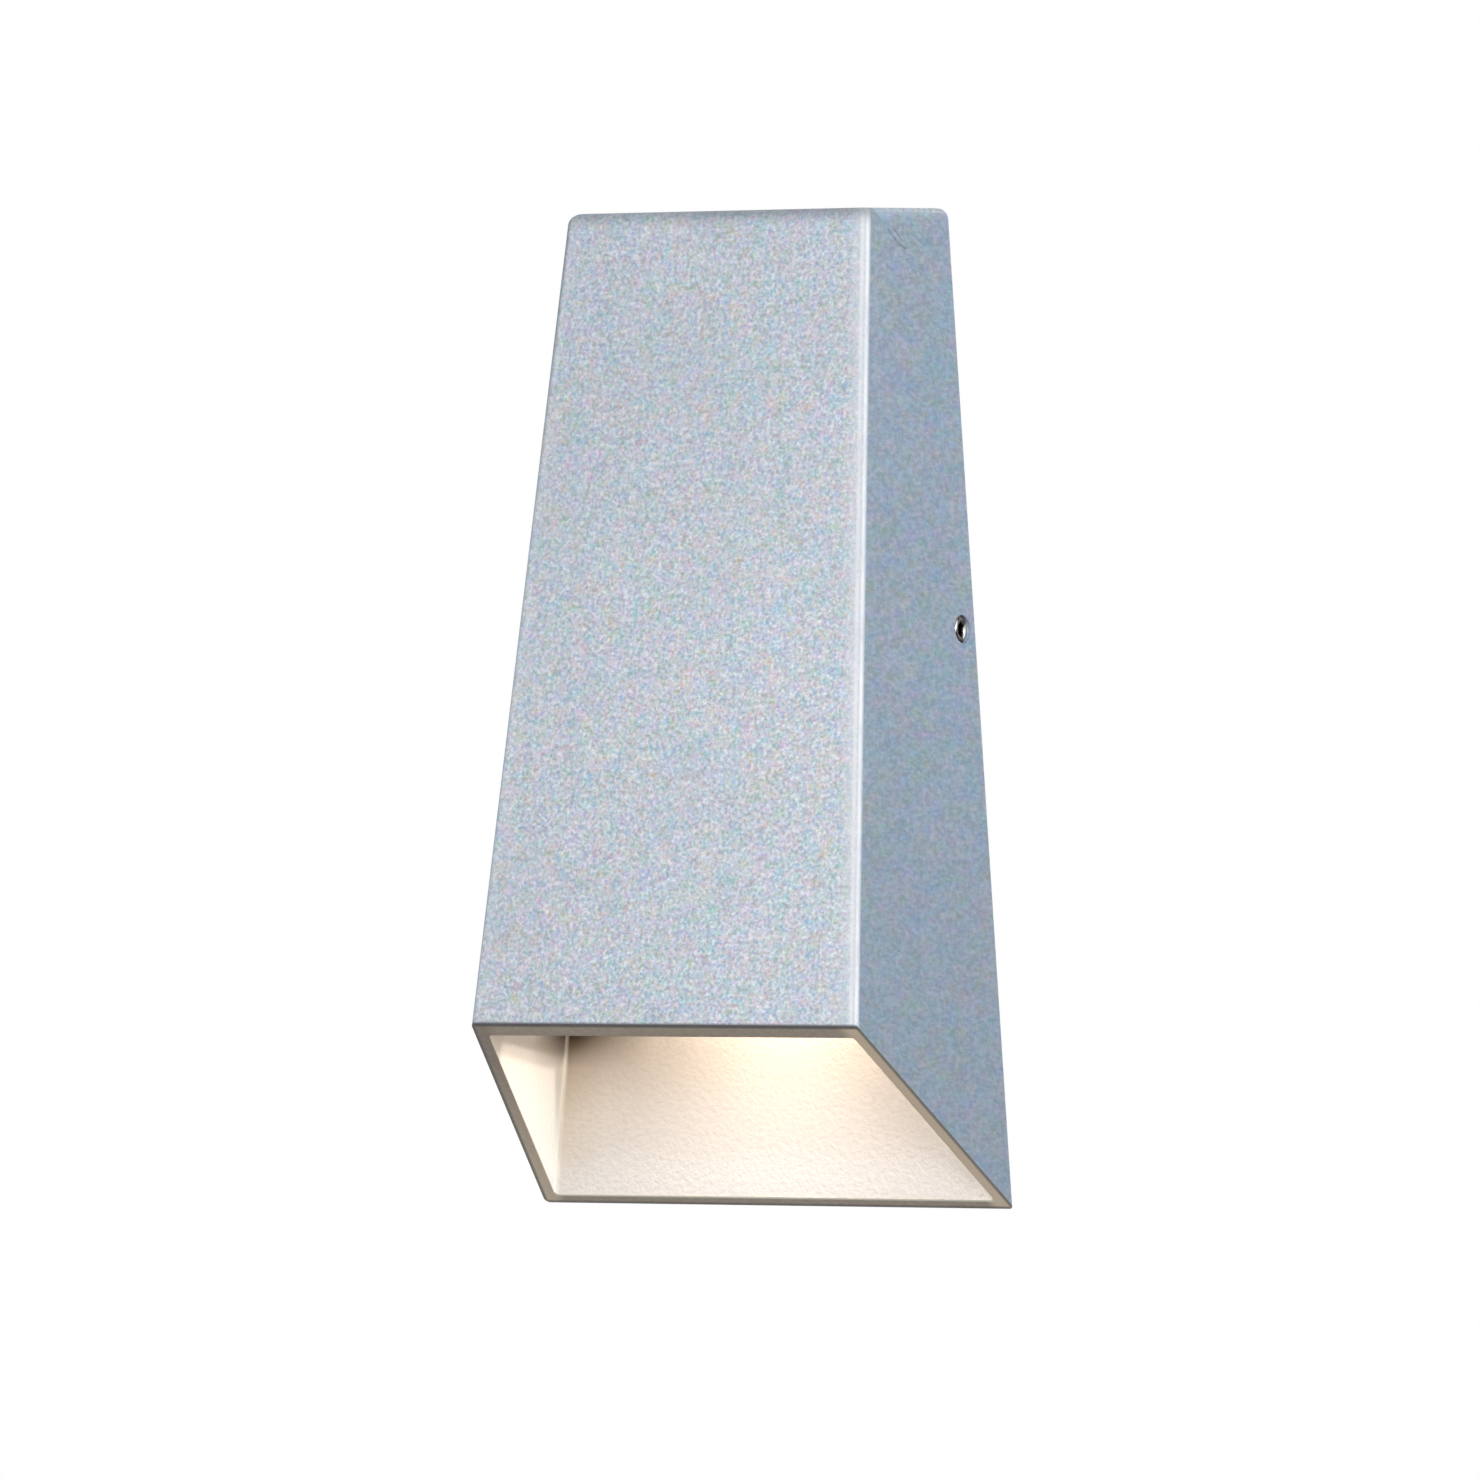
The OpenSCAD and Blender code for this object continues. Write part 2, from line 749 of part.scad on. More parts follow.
module lower_led_board() {
    color([0.92, 0.93, 0.92])
        placed()
            difference() {
                middle_block(low_board_w, low_unit_depth, low_board_d, low_board_h, low_seat_h);
                both_sides() {
                    upright_bar(low_board_screw_x, low_unit_depth, low_board_h - overrun,
                        low_seat_h + overrun, screw_d / 2 + thread_gap);
                    upright_bar(low_lead_x, lead_depth, low_board_h - overrun, low_seat_h + overrun,
                        lead_d / 2 + thread_gap);
                }
            }
}

module lower_led_chips() {
    color([0.98, 0.86, 0.42])
        placed()
            for (end = [-1, 1])
                middle_block(chip_w, low_unit_depth + end * low_chip_pitch / 2, chip_w,
                    low_board_h - chip_t, low_board_h);
}

module lower_board_screws() {
    color([0.75, 0.75, 0.76])
        placed()
            for (side = [-1, 1])
                screw_up(side * low_board_screw_x, low_unit_depth, low_board_h, board_screw_l);
}

module lower_reflector() {
    w = low_pocket_w - 2 * fit_gap;
    d = low_pocket_d - 2 * fit_gap;
    color([0.95, 0.95, 0.94])
        placed()
            difference() {
                reflector(w, d, low_glass_top, low_seat_h - fit_gap,
                    low_window_w - 2 * reflector_wall, low_window_d - 2 * reflector_wall, low_board_h,
                    low_window_w, low_window_d, low_glass_top - slice, low_unit_depth);
                middle_block(low_board_w + 2 * fit_gap, low_unit_depth, low_board_d + 2 * fit_gap,
                    low_board_h, low_seat_h + overrun);
            }
}

module lower_glass() {
    color([0.85, 0.92, 0.92, 0.35])
        placed()
            middle_block(low_glass_w, low_unit_depth, low_glass_d, ceiling_h + pane_gasket_t, low_glass_top);
}

module lower_glass_gasket() {
    color([0.85, 0.85, 0.83])
        placed()
            difference() {
                middle_block(low_glass_w, low_unit_depth, low_glass_d, ceiling_h, ceiling_h + pane_gasket_t);
                middle_block(low_window_w + pane_rim, low_unit_depth, low_window_d + pane_rim,
                    ceiling_h - overrun, ceiling_h + pane_gasket_t + overrun);
            }
}

module lower_glass_frame() {
    color([0.80, 0.79, 0.76])
        placed()
            difference() {
                middle_block(frame_w, low_unit_depth, frame_d, ceiling_h - frame_t, ceiling_h);
                middle_block(low_window_w, low_unit_depth, low_window_d,
                    ceiling_h - frame_t - overrun, ceiling_h + overrun);
                for (step = [-frame_screw_step, frame_screw_step])
                    both_sides()
                        upright_bar(frame_screw_x, low_unit_depth + step, ceiling_h - frame_t - overrun,
                            ceiling_h + overrun, screw_d / 2 + thread_gap);
            }
}

module lower_frame_screws() {
    color([0.75, 0.75, 0.76])
        placed()
            for (side = [-1, 1], step = [-frame_screw_step, frame_screw_step])
                screw_up(side * frame_screw_x, low_unit_depth + step, ceiling_h - frame_t, frame_screw_l);
}

module upper_led_board() {
    top = top_floor_h + board_t;
    color([0.92, 0.93, 0.92])
        placed()
            difference() {
                middle_block(top_board_w, top_unit_depth, top_board_d, top_floor_h, top);
                both_sides()
                    upright_bar(top_board_screw_x, top_unit_depth, top_floor_h - overrun, top + overrun,
                        screw_d / 2 + thread_gap);
                for (x = top_lead_xs)
                    upright_bar(x, top_lead_depth, top_floor_h - overrun, top + overrun,
                        lead_d / 2 + thread_gap);
            }
}

module upper_led_chips() {
    top = top_floor_h + board_t;
    color([0.98, 0.86, 0.42])
        placed()
            for (side = [-1, 1])
                translate([side * top_chip_pitch / 2, 0, 0])
                    middle_block(chip_w, top_unit_depth, chip_w, top, top + chip_t);
}

module upper_board_screws() {
    color([0.75, 0.75, 0.76])
        placed()
            for (side = [-1, 1])
                screw_down(side * top_board_screw_x, top_unit_depth, top_floor_h + board_t, board_screw_l);
}

module upper_reflector() {
    foot = top_floor_h + board_t;
    w = top_window_w - 2 * fit_gap;
    d = top_window_d - 2 * fit_gap;
    foot_w = 2 * top_board_screw_x + head_d + 2 * fit_gap;
    color([0.95, 0.95, 0.94])
        placed()
            reflector(w, d, foot, top_rim_h, foot_w, head_d + 2 * fit_gap, foot,
                w - 2 * reflector_wall, d - 2 * reflector_wall, top_rim_h, top_unit_depth);
}

module upper_glass() {
    color([0.85, 0.92, 0.92, 0.35])
        placed()
            middle_block(top_glass_w, top_unit_depth, top_glass_d, top_glass_h, top_glass_top);
}

module upper_glass_gasket() {
    color([0.85, 0.85, 0.83])
        placed()
            difference() {
                middle_block(top_glass_w, top_unit_depth, top_glass_d, top_rim_h, top_glass_h);
                middle_block(top_window_w - 2 * fit_gap, top_unit_depth, top_window_d - 2 * fit_gap,
                    top_rim_h - overrun, top_glass_h + overrun);
            }
}

module driver_posts(depth0, depth1, r) {
    for (side = [-1, 1], h = [driver_h0 + driver_post_inset, driver_h1 - driver_post_inset])
        out_bar(side * (driver_w / 2 - driver_post_inset), h, depth0, depth1, r);
}

module driver_lead_holes() {
    r = lead_d / 2 + lead_hole_gap;
    for (x = concat(top_lead_xs, [-pole_pitch, 0]))
        upright_bar(x, lead_depth, driver_h1 - driver_wall - overrun, driver_h1 + overrun, r);
    both_sides()
        upright_bar(low_lead_x, lead_depth, driver_h0 - overrun, driver_h0 + driver_wall + overrun, r);
}

module driver_case() {
    color([0.93, 0.93, 0.91])
        placed() {
            difference() {
                union() {
                    block(-driver_w / 2, driver_w / 2, driver_depth + driver_wall, driver_front,
                        driver_h0, driver_h1);
                    block(-driver_w / 2 - lug_w, driver_w / 2 + lug_w,
                        driver_front - lug_t, driver_front,
                        driver_mid_h - lug_h / 2, driver_mid_h + lug_h / 2);
                }
                block(driver_wall - driver_w / 2, driver_w / 2 - driver_wall,
                    driver_depth, driver_front - driver_wall,
                    driver_h0 + driver_wall, driver_h1 - driver_wall);
                both_sides()
                    out_bar(driver_screw_x, driver_mid_h, driver_front - lug_t - overrun,
                        driver_front + overrun, screw_d / 2 + thread_gap);
                driver_lead_holes();
            }
            driver_posts(driver_board_depth + board_t, driver_front - driver_wall, driver_post_r);
        }
}

module driver_lid() {
    lip_t = driver_wall;
    inner = driver_wall + thread_gap;
    lid_face = driver_depth + driver_wall;
    color([0.90, 0.90, 0.88])
        placed()
            difference() {
                union() {
                    block(-driver_w / 2, driver_w / 2, driver_depth, lid_face, driver_h0, driver_h1);
                    block(inner - driver_w / 2, driver_w / 2 - inner, driver_depth, lid_face + lip_t,
                        driver_h0 + inner, driver_h1 - inner);
                }
                block(inner + lip_t - driver_w / 2, driver_w / 2 - inner - lip_t,
                    lid_face, lid_face + lip_t + overrun,
                    driver_h0 + inner + lip_t, driver_h1 - inner - lip_t);
            }
}

module driver_board() {
    edge = driver_wall + fit_gap;
    color([0.16, 0.42, 0.26])
        placed()
            block(edge - driver_w / 2, driver_w / 2 - edge, driver_board_depth, driver_board_depth + board_t,
                driver_h0 + edge, driver_h1 - edge);
}

// A wound coil former between the two halves of a core
module driver_transformer() {
    core_w = 15;
    core_h = 13;
    core_gap = 1.3;
    core_t = driver_room - core_gap;
    leg_w = 3;
    coil_h = 10;
    leg_gap = 0.6;
    back = driver_board_depth - core_t;
    color([0.24, 0.23, 0.22])
        placed()
            translate([0, 0, driver_mid_h])
                union() {
                    both_sides()
                        block(core_w / 2 - leg_w, core_w / 2, back, driver_board_depth - leg_gap,
                            -core_h / 2, core_h / 2);
                    block(-core_w / 2, core_w / 2, back + core_t / 3, driver_board_depth - core_t / 3,
                        -core_h / 2, core_h / 2);
                    block(leg_w - core_w / 2, core_w / 2 - leg_w, back + leg_gap, driver_board_depth,
                        -coil_h / 2, coil_h / 2);
                }
}

module driver_capacitors() {
    capacitor_gap = 1.7;
    wide_r = 3.8;
    narrow_r = 2.6;
    wall_gap = 1.5;
    x = driver_w / 2 - driver_wall - wide_r - wall_gap;
    end_depth = driver_depth + driver_wall + capacitor_gap;
    color([0.12, 0.14, 0.20])
        placed() {
            out_bar(x, driver_mid_h - wide_r, end_depth, driver_board_depth, wide_r);
            out_bar(x, driver_mid_h + narrow_r + fit_gap, end_depth, driver_board_depth, narrow_r);
            out_bar(-x, driver_mid_h - wide_r, end_depth, driver_board_depth, wide_r);
        }
}

module connector(x0, x1, h0) {
    block(x0 - connector_rim, x1 + connector_rim, driver_board_depth - connector_t, driver_board_depth,
        h0, h0 + connector_h);
}

module driver_connectors() {
    h0 = driver_h0 + driver_wall + fit_gap;
    h1 = driver_h1 - driver_wall - fit_gap - connector_h;
    color([0.25, 0.50, 0.32])
        placed() {
            connector(-low_lead_x, low_lead_x, h0);
            connector(-pole_pitch, 0, h1);
            connector(top_lead_xs[0] + connector_rim / 2, top_lead_xs[1] - connector_rim / 4, h1);
        }
}

module driver_screws() {
    color([0.75, 0.75, 0.76])
        placed()
            for (side = [-1, 1])
                screw_out(side * driver_screw_x, driver_mid_h, driver_front - lug_t,
                    screw_d, driver_screw_l, head_d, head_t);
}

// The screws of the three poles, two for each sleeve
module clamp_bars(depth0, depth1, r) {
    for (pole = [-1 : 1], end = [-1, 1])
        out_bar(pole * pole_pitch, terminal_mid_h + end * clamp_step, depth0, depth1, r);
}

module terminal_block() {
    color([0.90, 0.89, 0.84])
        placed()
            difference() {
                block(-terminal_w / 2, terminal_w / 2, terminal_depth, terminal_front,
                    terminal_h0, terminal_h1);
                for (pole = [-1 : 1])
                    upright_bar(pole * pole_pitch, lead_depth, terminal_h0 - overrun, terminal_h1 + overrun,
                        sleeve_d / 2 + thread_gap);
                clamp_bars(terminal_depth - overrun, lead_depth, clamp_screw_d / 2 + thread_gap);
                both_sides() {
                    out_bar(pole_pitch / 2, terminal_mid_h, terminal_depth - overrun,
                        terminal_front + overrun, terminal_screw_d / 2 + thread_gap);
                    out_bar(pole_pitch / 2, terminal_mid_h, terminal_depth - overrun,
                        terminal_depth + terminal_head_t, terminal_head_d / 2 + thread_gap);
                }
            }
}

module terminal_sleeves() {
    rim = 1;
    color([0.82, 0.68, 0.34])
        placed()
            difference() {
                for (pole = [-1 : 1])
                    difference() {
                        upright_bar(pole * pole_pitch, lead_depth, terminal_h0 + rim, terminal_h1 - rim,
                            sleeve_d / 2);
                        upright_bar(pole * pole_pitch, lead_depth, terminal_h0, terminal_h1,
                            sleeve_bore_d / 2);
                    }
                clamp_bars(terminal_depth, lead_depth, clamp_screw_d / 2 + thread_gap);
            }
}

module terminal_clamp_screws() {
    color([0.78, 0.76, 0.70])
        placed()
            clamp_bars(lead_depth - sleeve_bore_d / 2 - clamp_screw_l, lead_depth - sleeve_bore_d / 2,
                clamp_screw_d / 2);
}

module terminal_block_screws() {
    length = terminal_t - terminal_head_t + lead_insert - fit_gap;
    color([0.75, 0.75, 0.76])
        placed()
            for (side = [-1, 1])
                screw_out(side * pole_pitch / 2, terminal_mid_h, terminal_depth + terminal_head_t,
                    terminal_screw_d, length, terminal_head_d, terminal_head_t);
}

module earth_lug() {
    barrel_top = earth_h - earth_pillar_r - fit_gap;
    color([0.80, 0.80, 0.80])
        placed()
            difference() {
                union() {
                    out_bar(pole_pitch, earth_h, earth_lug_depth - earth_lug_t, earth_lug_depth,
                        earth_pillar_r);
                    block(pole_pitch - earth_barrel_r, pole_pitch + earth_barrel_r,
                        earth_lug_depth - earth_lug_t, earth_lug_depth,
                        barrel_top - earth_barrel_r, earth_h);
                    upright_bar(pole_pitch, lead_depth, barrel_top - earth_barrel_l, barrel_top,
                        earth_barrel_r);
                }
                out_bar(pole_pitch, earth_h, earth_lug_depth - earth_lug_t - overrun,
                    earth_lug_depth + overrun, earth_screw_d / 2 + thread_gap);
                upright_bar(pole_pitch, lead_depth, barrel_top - earth_barrel_l - overrun,
                    barrel_top - earth_barrel_l + lead_insert, lead_d / 2 + thread_gap);
            }
}

module earth_lug_screw() {
    color([0.80, 0.68, 0.36])
        placed()
            screw_out(pole_pitch, earth_h, earth_lug_depth - earth_lug_t,
                earth_screw_d, earth_screw_l, earth_head_d, earth_head_t);
}

// A lead along points in its own upright plane, as one tube of flat-sided rings
function turn_points(a, corner_point, b, r) =
    let (
        into = (corner_point - a) / norm(corner_point - a),
        away = (b - corner_point) / norm(b - corner_point),
        half_turn = acos(into * away) / 2,
        reach = r * tan(half_turn)
    )
    [for (step = [0 : bend_steps])
        let (share = step / bend_steps)
        (1 - share) * (1 - share) * (corner_point - into * reach)
            + 2 * share * (1 - share) * corner_point
            + share * share * (corner_point + away * reach)];

function rounded_route(points, r) =
    [points[0],
     for (i = [1 : len(points) - 2])
         each turn_points(points[i - 1], points[i], points[i + 1], r),
     points[len(points) - 1]];

module tube(points, r) {
    sides = 8;
    last = len(points) - 1;
    rings = [for (i = [0 : last])
        let (
            run = points[min(i + 1, last)] - points[max(i - 1, 0)],
            along = run / norm(run),
            across = cross(along, [1, 0, 0])
        )
        each [for (k = [0 : sides - 1])
            points[i] + r * cos(360 * k / sides) * [1, 0, 0] + r * sin(360 * k / sides) * across]];
    walls = [for (i = [0 : last - 1], k = [0 : sides - 1])
        let (next = (k + 1) % sides, here = i * sides, there = (i + 1) * sides)
        each [[here + k, here + next, there + k], [here + next, there + next, there + k]]];
    start_cap = [for (k = [1 : sides - 2]) [0, k + 1, k]];
    end_cap = [for (k = [1 : sides - 2]) [last * sides, last * sides + k, last * sides + k + 1]];
    polyhedron(points = rings, faces = concat(walls, start_cap, end_cap));
}

module supply_leads() {
    color([0.35, 0.25, 0.20])
        placed()
            for (x = [-pole_pitch, 0])
                upright_bar(x, lead_depth, driver_h1 - driver_wall - fit_gap, terminal_h0 + lead_insert,
                    lead_d / 2);
}

module earth_lead() {
    barrel_mouth = earth_h - earth_pillar_r - fit_gap - earth_barrel_l;
    color([0.45, 0.60, 0.20])
        placed()
            upright_bar(pole_pitch, lead_depth, terminal_h1 - lead_insert, barrel_mouth + lead_insert,
                lead_d / 2);
}

module lower_led_leads() {
    color([0.70, 0.12, 0.10])
        placed()
            both_sides()
                upright_bar(low_lead_x, lead_depth, low_board_h, driver_h0 + driver_wall + fit_gap,
                    lead_d / 2);
}

module upper_led_leads() {
    start_h = driver_h1 - driver_wall - fit_gap;
    end_h = top_floor_h + board_t;
    jog_h = chamber_h1 - lead_bend_r - lead_d;
    jog = lead_depth - top_lead_depth;
    color([0.70, 0.12, 0.10])
        placed()
            for (x = top_lead_xs)
                tube(rounded_route([
                    [x, -lead_depth, start_h],
                    [x, -lead_depth, jog_h - jog],
                    [x, -top_lead_depth, jog_h],
                    [x, -top_lead_depth, end_h]], lead_bend_r), lead_d / 2);
}

wall_bracket();
bracket_earth_screw();
housing();
left_set_screw();
right_set_screw();
rear_cover();
rear_cover_gasket();
rear_cover_screws();
cable_grommet();
lower_led_board();
lower_led_chips();
lower_board_screws();
lower_reflector();
lower_glass();
lower_glass_gasket();
lower_glass_frame();
lower_frame_screws();
upper_led_board();
upper_led_chips();
upper_board_screws();
upper_reflector();
upper_glass();
upper_glass_gasket();
driver_case();
driver_lid();
driver_board();
driver_transformer();
driver_capacitors();
driver_connectors();
driver_screws();
terminal_block();
terminal_sleeves();
terminal_clamp_screws();
terminal_block_screws();
earth_lug();
earth_lug_screw();
supply_leads();
earth_lead();
lower_led_leads();
upper_led_leads();
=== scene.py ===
import json
import math
from types import SimpleNamespace

import bmesh
import bpy
from mathutils import Matrix, Vector


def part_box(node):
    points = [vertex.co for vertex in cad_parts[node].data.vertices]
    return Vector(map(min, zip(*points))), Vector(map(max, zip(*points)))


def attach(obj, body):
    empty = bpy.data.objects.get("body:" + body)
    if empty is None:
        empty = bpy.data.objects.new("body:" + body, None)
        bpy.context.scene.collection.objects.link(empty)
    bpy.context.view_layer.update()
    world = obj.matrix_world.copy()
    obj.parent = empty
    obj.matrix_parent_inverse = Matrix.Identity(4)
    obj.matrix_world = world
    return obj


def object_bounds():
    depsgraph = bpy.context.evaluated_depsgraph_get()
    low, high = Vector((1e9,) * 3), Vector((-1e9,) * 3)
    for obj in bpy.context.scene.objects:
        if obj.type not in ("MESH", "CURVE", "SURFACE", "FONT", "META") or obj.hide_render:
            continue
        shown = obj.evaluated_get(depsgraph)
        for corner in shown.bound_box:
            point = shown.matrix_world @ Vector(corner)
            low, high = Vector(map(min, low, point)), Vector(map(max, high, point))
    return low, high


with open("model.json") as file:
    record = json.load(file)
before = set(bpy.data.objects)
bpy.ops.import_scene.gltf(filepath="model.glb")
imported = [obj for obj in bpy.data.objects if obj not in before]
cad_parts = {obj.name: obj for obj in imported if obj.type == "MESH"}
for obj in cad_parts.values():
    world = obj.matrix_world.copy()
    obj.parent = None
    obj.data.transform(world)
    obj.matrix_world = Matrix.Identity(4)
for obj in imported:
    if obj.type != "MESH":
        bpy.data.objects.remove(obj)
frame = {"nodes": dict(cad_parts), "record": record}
cad_box = [list(corner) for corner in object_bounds()]

MM = 0.001
WHITE = (1.0, 1.0, 1.0, 1.0)

# The housing, in millimetres, as the part has it
HEIGHT = 180.0
TOP_BACK_HALF = 33.6
LOW_BACK_HALF = 47.25
TOP_FRONT_HALF = 30.05
TOP_DEPTH = 26.3
LIP_DEPTH = 47.3
LIP_H = 32.8
CEILING_H = 46.0
SIDE_WALL = 2.6
BACK_WALL = 2.2
FLARE_UP = (LOW_BACK_HALF - TOP_BACK_HALF) / HEIGHT
FLARE_OUT = (TOP_BACK_HALF - TOP_FRONT_HALF) / TOP_DEPTH
FRONT_SLOPE = (LIP_DEPTH - TOP_DEPTH) / (HEIGHT - LIP_H)
MOUTH_ANGLE = math.atan2(LIP_H, LIP_DEPTH)

# The camera, fitted to the corners of the photograph, which is 1480 pixels wide
IMAGE_SIZE = 1480
FOCAL_PX = 13069.0
PX_PER_MM = 5.523
AZIMUTH = math.radians(26.08)
ELEVATION = math.radians(-0.88)
ROLL = math.radians(0.25)
TARGET_RIGHT = -6.9
TARGET_UP = 84.3
SENSOR = 36.0
NEAR_CLIP = 0.01
FAR_CLIP = 50.0

# Noises: how many times each repeats in a metre, or along each axis, then its detail and roughness
NOISES = {
    "grain": (1500, 2, 0.65), "side grain": (1350, 2, 0.6), "cloud": (42, 3, 0.55), "peel": (880, 2, 0.45),
    "rubbed_and_lit": ((300, 300, 95), 3, 0.6), "scuff": (700, 3, 0.6), "marks": ((160, 210, 260), 3, 0.75),
    "uneven": (60, 3, 0.6), "rim": (900, 3, 0.6), "metal marks": (420, 4, 0.7),
    "zinc scuffs": ((90, 90, 1300), 4, 0.65), "plastic shades": (70, 3, 0.5), "board grain": (1500, 2, 0.5),
    "phosphor": (3000, 3, 0.6), "dust": (520, 4, 0.7), "floor": (14, 2, 0.5), "lip": (2600, 3, 0.6),
}

# The mottlings of the front and of the side panels: how often each repeats in a metre, and its share
MOTTLES = ((1000, 0.46), (430, 0.36), (210, 0.20))
SIDE_MOTTLES = ((620, 0.32), (300, 0.24), (110, 0.12))
# The green of a mottling varies less than its red and blue, so that it looks blue and rose
GREEN_RANGE = (0.0, 1.0, 0.3, 0.7)
# How much a pattern on the side panels is drawn out from front to back
SIDE_DRAW = 0.45

# Colours of the coat, the mouth and the rim, of scuffs on the zinc and of painted glints on the set screws,
# from 0 to 255
TONES = {
    "cloud": (170, 181, 194), "top": (245, 246, 247), "low side shade": (132, 143, 158), "scuff": (84, 104, 112),
    "back line": (104, 114, 118), "marks": (96, 108, 122), "edge fade": (232, 233, 240),
    "edge line": (254, 253, 255), "low line": (84, 88, 96), "top line": (112, 118, 127),
    "left line": (108, 116, 126), "mouth low": (215, 210, 206), "mouth high": (202, 191, 177),
    "peel": (178, 170, 157), "wall low": (230, 235, 233), "wall high": (214, 208, 199),
    "by corner": (176, 158, 132), "corner shadow": (88, 65, 40), "corner line": (250, 243, 230),
    "rim": (132, 117, 104), "rim right": (230, 206, 178), "rim left": (128, 112, 98),
    "rim low": (236, 212, 184), "inner line": (255, 246, 228), "rim front": (74, 70, 70),
    "rim outer": (92, 84, 80), "zinc scuffs": (120, 124, 130), "glint steel": (246, 244, 242),
}

# Colours along a noise: where each stands between 0 and 1
STOPS = {
    "coat": ((0.32, (158, 165, 177)), (0.46, (189, 195, 205)), (0.56, (204, 209, 217)),
             (0.70, (236, 239, 244))),
    # Painted shade: the side panels' colours are darker and bluer than the front's coat
    "side": ((0.34, (154, 168, 185)), (0.50, (168, 182, 198)), (0.66, (182, 195, 210))),
    "rim": ((0.35, (208, 186, 162)), (0.65, (232, 212, 187))),
    "zinc": ((0.2, (175, 178, 182)), (0.5, (184, 187, 190)), (0.8, (194, 196, 199))),
    "phosphor": ((0.35, (244, 206, 96)), (0.65, (255, 232, 150))),
    "glow": ((0.3, (255, 224, 170)), (0.7, (255, 240, 208))),
    "floor": ((0.3, (246, 246, 247)), (0.7, (250, 250, 251))),
    "lip": ((0.35, (40, 38, 36)), (0.65, (74, 71, 68))),
}
DRAWN_STOPS = (0.3, 0.5, 0.75)

# Bands: where a shade begins and ends, then its share at each, which is 0 and 1 where none is given. On the
# housing they are in millimetres, from a face or an edge or its lowest point, and on a noise between 0 and 1.
BANDS = {
    "painted top shade": (97, 150, 0.05, 1.0), "cloud": (0.42, 0.7, 0.0, 0.13), "on face": (0.5, 0.3),
    "low side shade": (95, 5, 0.0, 0.25), "back line": (1.1, 0.4, 0.0, 0.4), "marks": (0.70, 0.76, 0.0, 0.30),
    "low line": (0.5, 0.15, 0.0, 0.85), "uneven": (0.35, 0.65, 0.55, 1.0),
    "top line": (4.2, 1.4, 0.0, 0.62), "top line front": (3.0, 2.2),
    "left line": (1.1, 0.3, 0.0, 0.6), "left line height": (62, 12), "left line front": (1.2, 0.9),
    "by edge": (4.5, 3.5), "rubbed_and_lit": (0.36, 0.58, 0.55, 1.0),
    "edge fade": (4.5, 0.8, 0.0, 0.58), "edge fade end": (-0.8, -0.4),
    "scuff width": (0.34, 0.08), "scuff": (0.35, 0.6, 0.2, 0.62),
    "inside": (0.35, 0.5), "under ceiling": (CEILING_H + 0.4, CEILING_H + 0.2),
    "mouth height": (6, 28), "peel": (0.35, 0.65, 0.12, 0.0), "on wall": (SIDE_WALL + 0.3, SIDE_WALL + 0.1),
    "by corner": (9, 0.6, 0.0, 0.38), "by corner height": (2, 10),
    # Painted shadow in the mouth's upper back corners
    "corner shadow": (18, 1), "corner shadow height": (24.5, 30, 0.0, 0.94), "corner shadow end": (CEILING_H, 36, 0.35, 1.0),
    # corner line: a painted highlight down the mouth's upright back corners
    "corner line": (0.75, 0.5), "corner line height": (16, 26, 0.0, 0.62), "corner line end": (37, 34),
    "rim": (0.14, 0.08), "by side": (4.6, 2.4), "rim left": (6, 26, 0.0, 0.5), "rim low": (26, 4, 0.0, 0.7),
    "inner line": (1.7, 1.95, 0.0, 0.85), "inner line side": (2.4, 3.2), "inner line height": (4.5, 3.0),
    "rim front": (0.9, 0.5, 0.0, 0.92), "rim outer": (0.8, 0.4, 0.0, 0.8),
    "metal marks": (0.55, 0.8, 0.0, 0.3), "zinc scuffs": (0.6, 0.8, 0.0, 0.35),
    "plastic shades": (0.35, 0.7, 0.0, 0.6), "plastic grain": (0.4, 0.75, 0.0, 0.25),
    "board grain": (0.4, 0.8, 0.0, 0.18),
    "painted glint": (1.0, 1.4), "painted glint grain": (0.3, 0.5, 0.6, 1.0), "small painted glint": (-1.8, -2.05),
}
# The same from left to right, in metres from the middle
ACROSS = {
    # lighter: painted light, the front made lighter towards the right
    "lighter": (-0.035, 0.035), "right": (-0.001, 0.001), "left": (-0.001, -0.002),
    # worn: how much of the painted edge highlight, partly wear, each side takes: faint on the left, full on
    # the right
    "worn": (-0.001, 0.001, 0.12, 1.0),
}
# Painted light: how much lighter the front's colour is made on its right
PAINTED_RIGHT_LIGHT = (1.12, 1.12, 1.12, 1.0)
RIM_SHARE = 0.64
# The edge lines are painted highlight, partly wear
# Along the upright edges, in millimetres from the middle of the rounding: place, half width and share
EDGE_LINES = ((0.1, 0.42, 0.95), (1.3, 0.36, 0.60))
# How far out, in half widths, such a line has gone and is still full
LINE_FADE = (1.6, 0.5)
# Strokes of the scuff on the right side panel, from one depth and height to another, in millimetres
SCUFF = (((20.9, 175.3), (17.6, 172.7)), ((17.6, 172.7), (15.4, 172.0)), ((19.1, 175.6), (16.7, 173.5)))
# How far past its end a stroke has gone, and how far before its end it is full, in millimetres
STROKE_FADE = (0.3, 0.2)

# Roughness: where it begins and ends on its pattern, and its value at each, over the material's own or over 0
ROUGHNESS = {
    "coat": (0.3, 0.7, 0.40, 0.60), "metal": (0.3, 0.75, -0.08, 0.14), "zinc": (0.2, 0.8, 0.34, 0.44),
    "plastic": (0.3, 0.7, -0.06, 0.08), "board": (0.3, 0.7, 0.28, 0.42), "phosphor": (0.3, 0.7, 0.45, 0.6),
    "glass": (0.5, 0.8, 0.02, 0.12), "lip": (0.0, 1.0, 0.38, 0.16),
}
# Bumps: strength, and height in metres
BUMPS = {
    "grain": (0.40, 0.00020), "peel": (0.45, 0.00022), "drawn": (0.25, 0.00004), "zinc": (0.2, 0.00004),
    "plastic": (0.22, 0.00006), "tracks": (0.3, 0.00005), "fine": (0.2, 0.00003),
}
# Rounded edges in the shading, in metres
SOFT_EDGE = 0.0003
SHARP_EDGE = 0.0002
EDGE_SAMPLES = 6

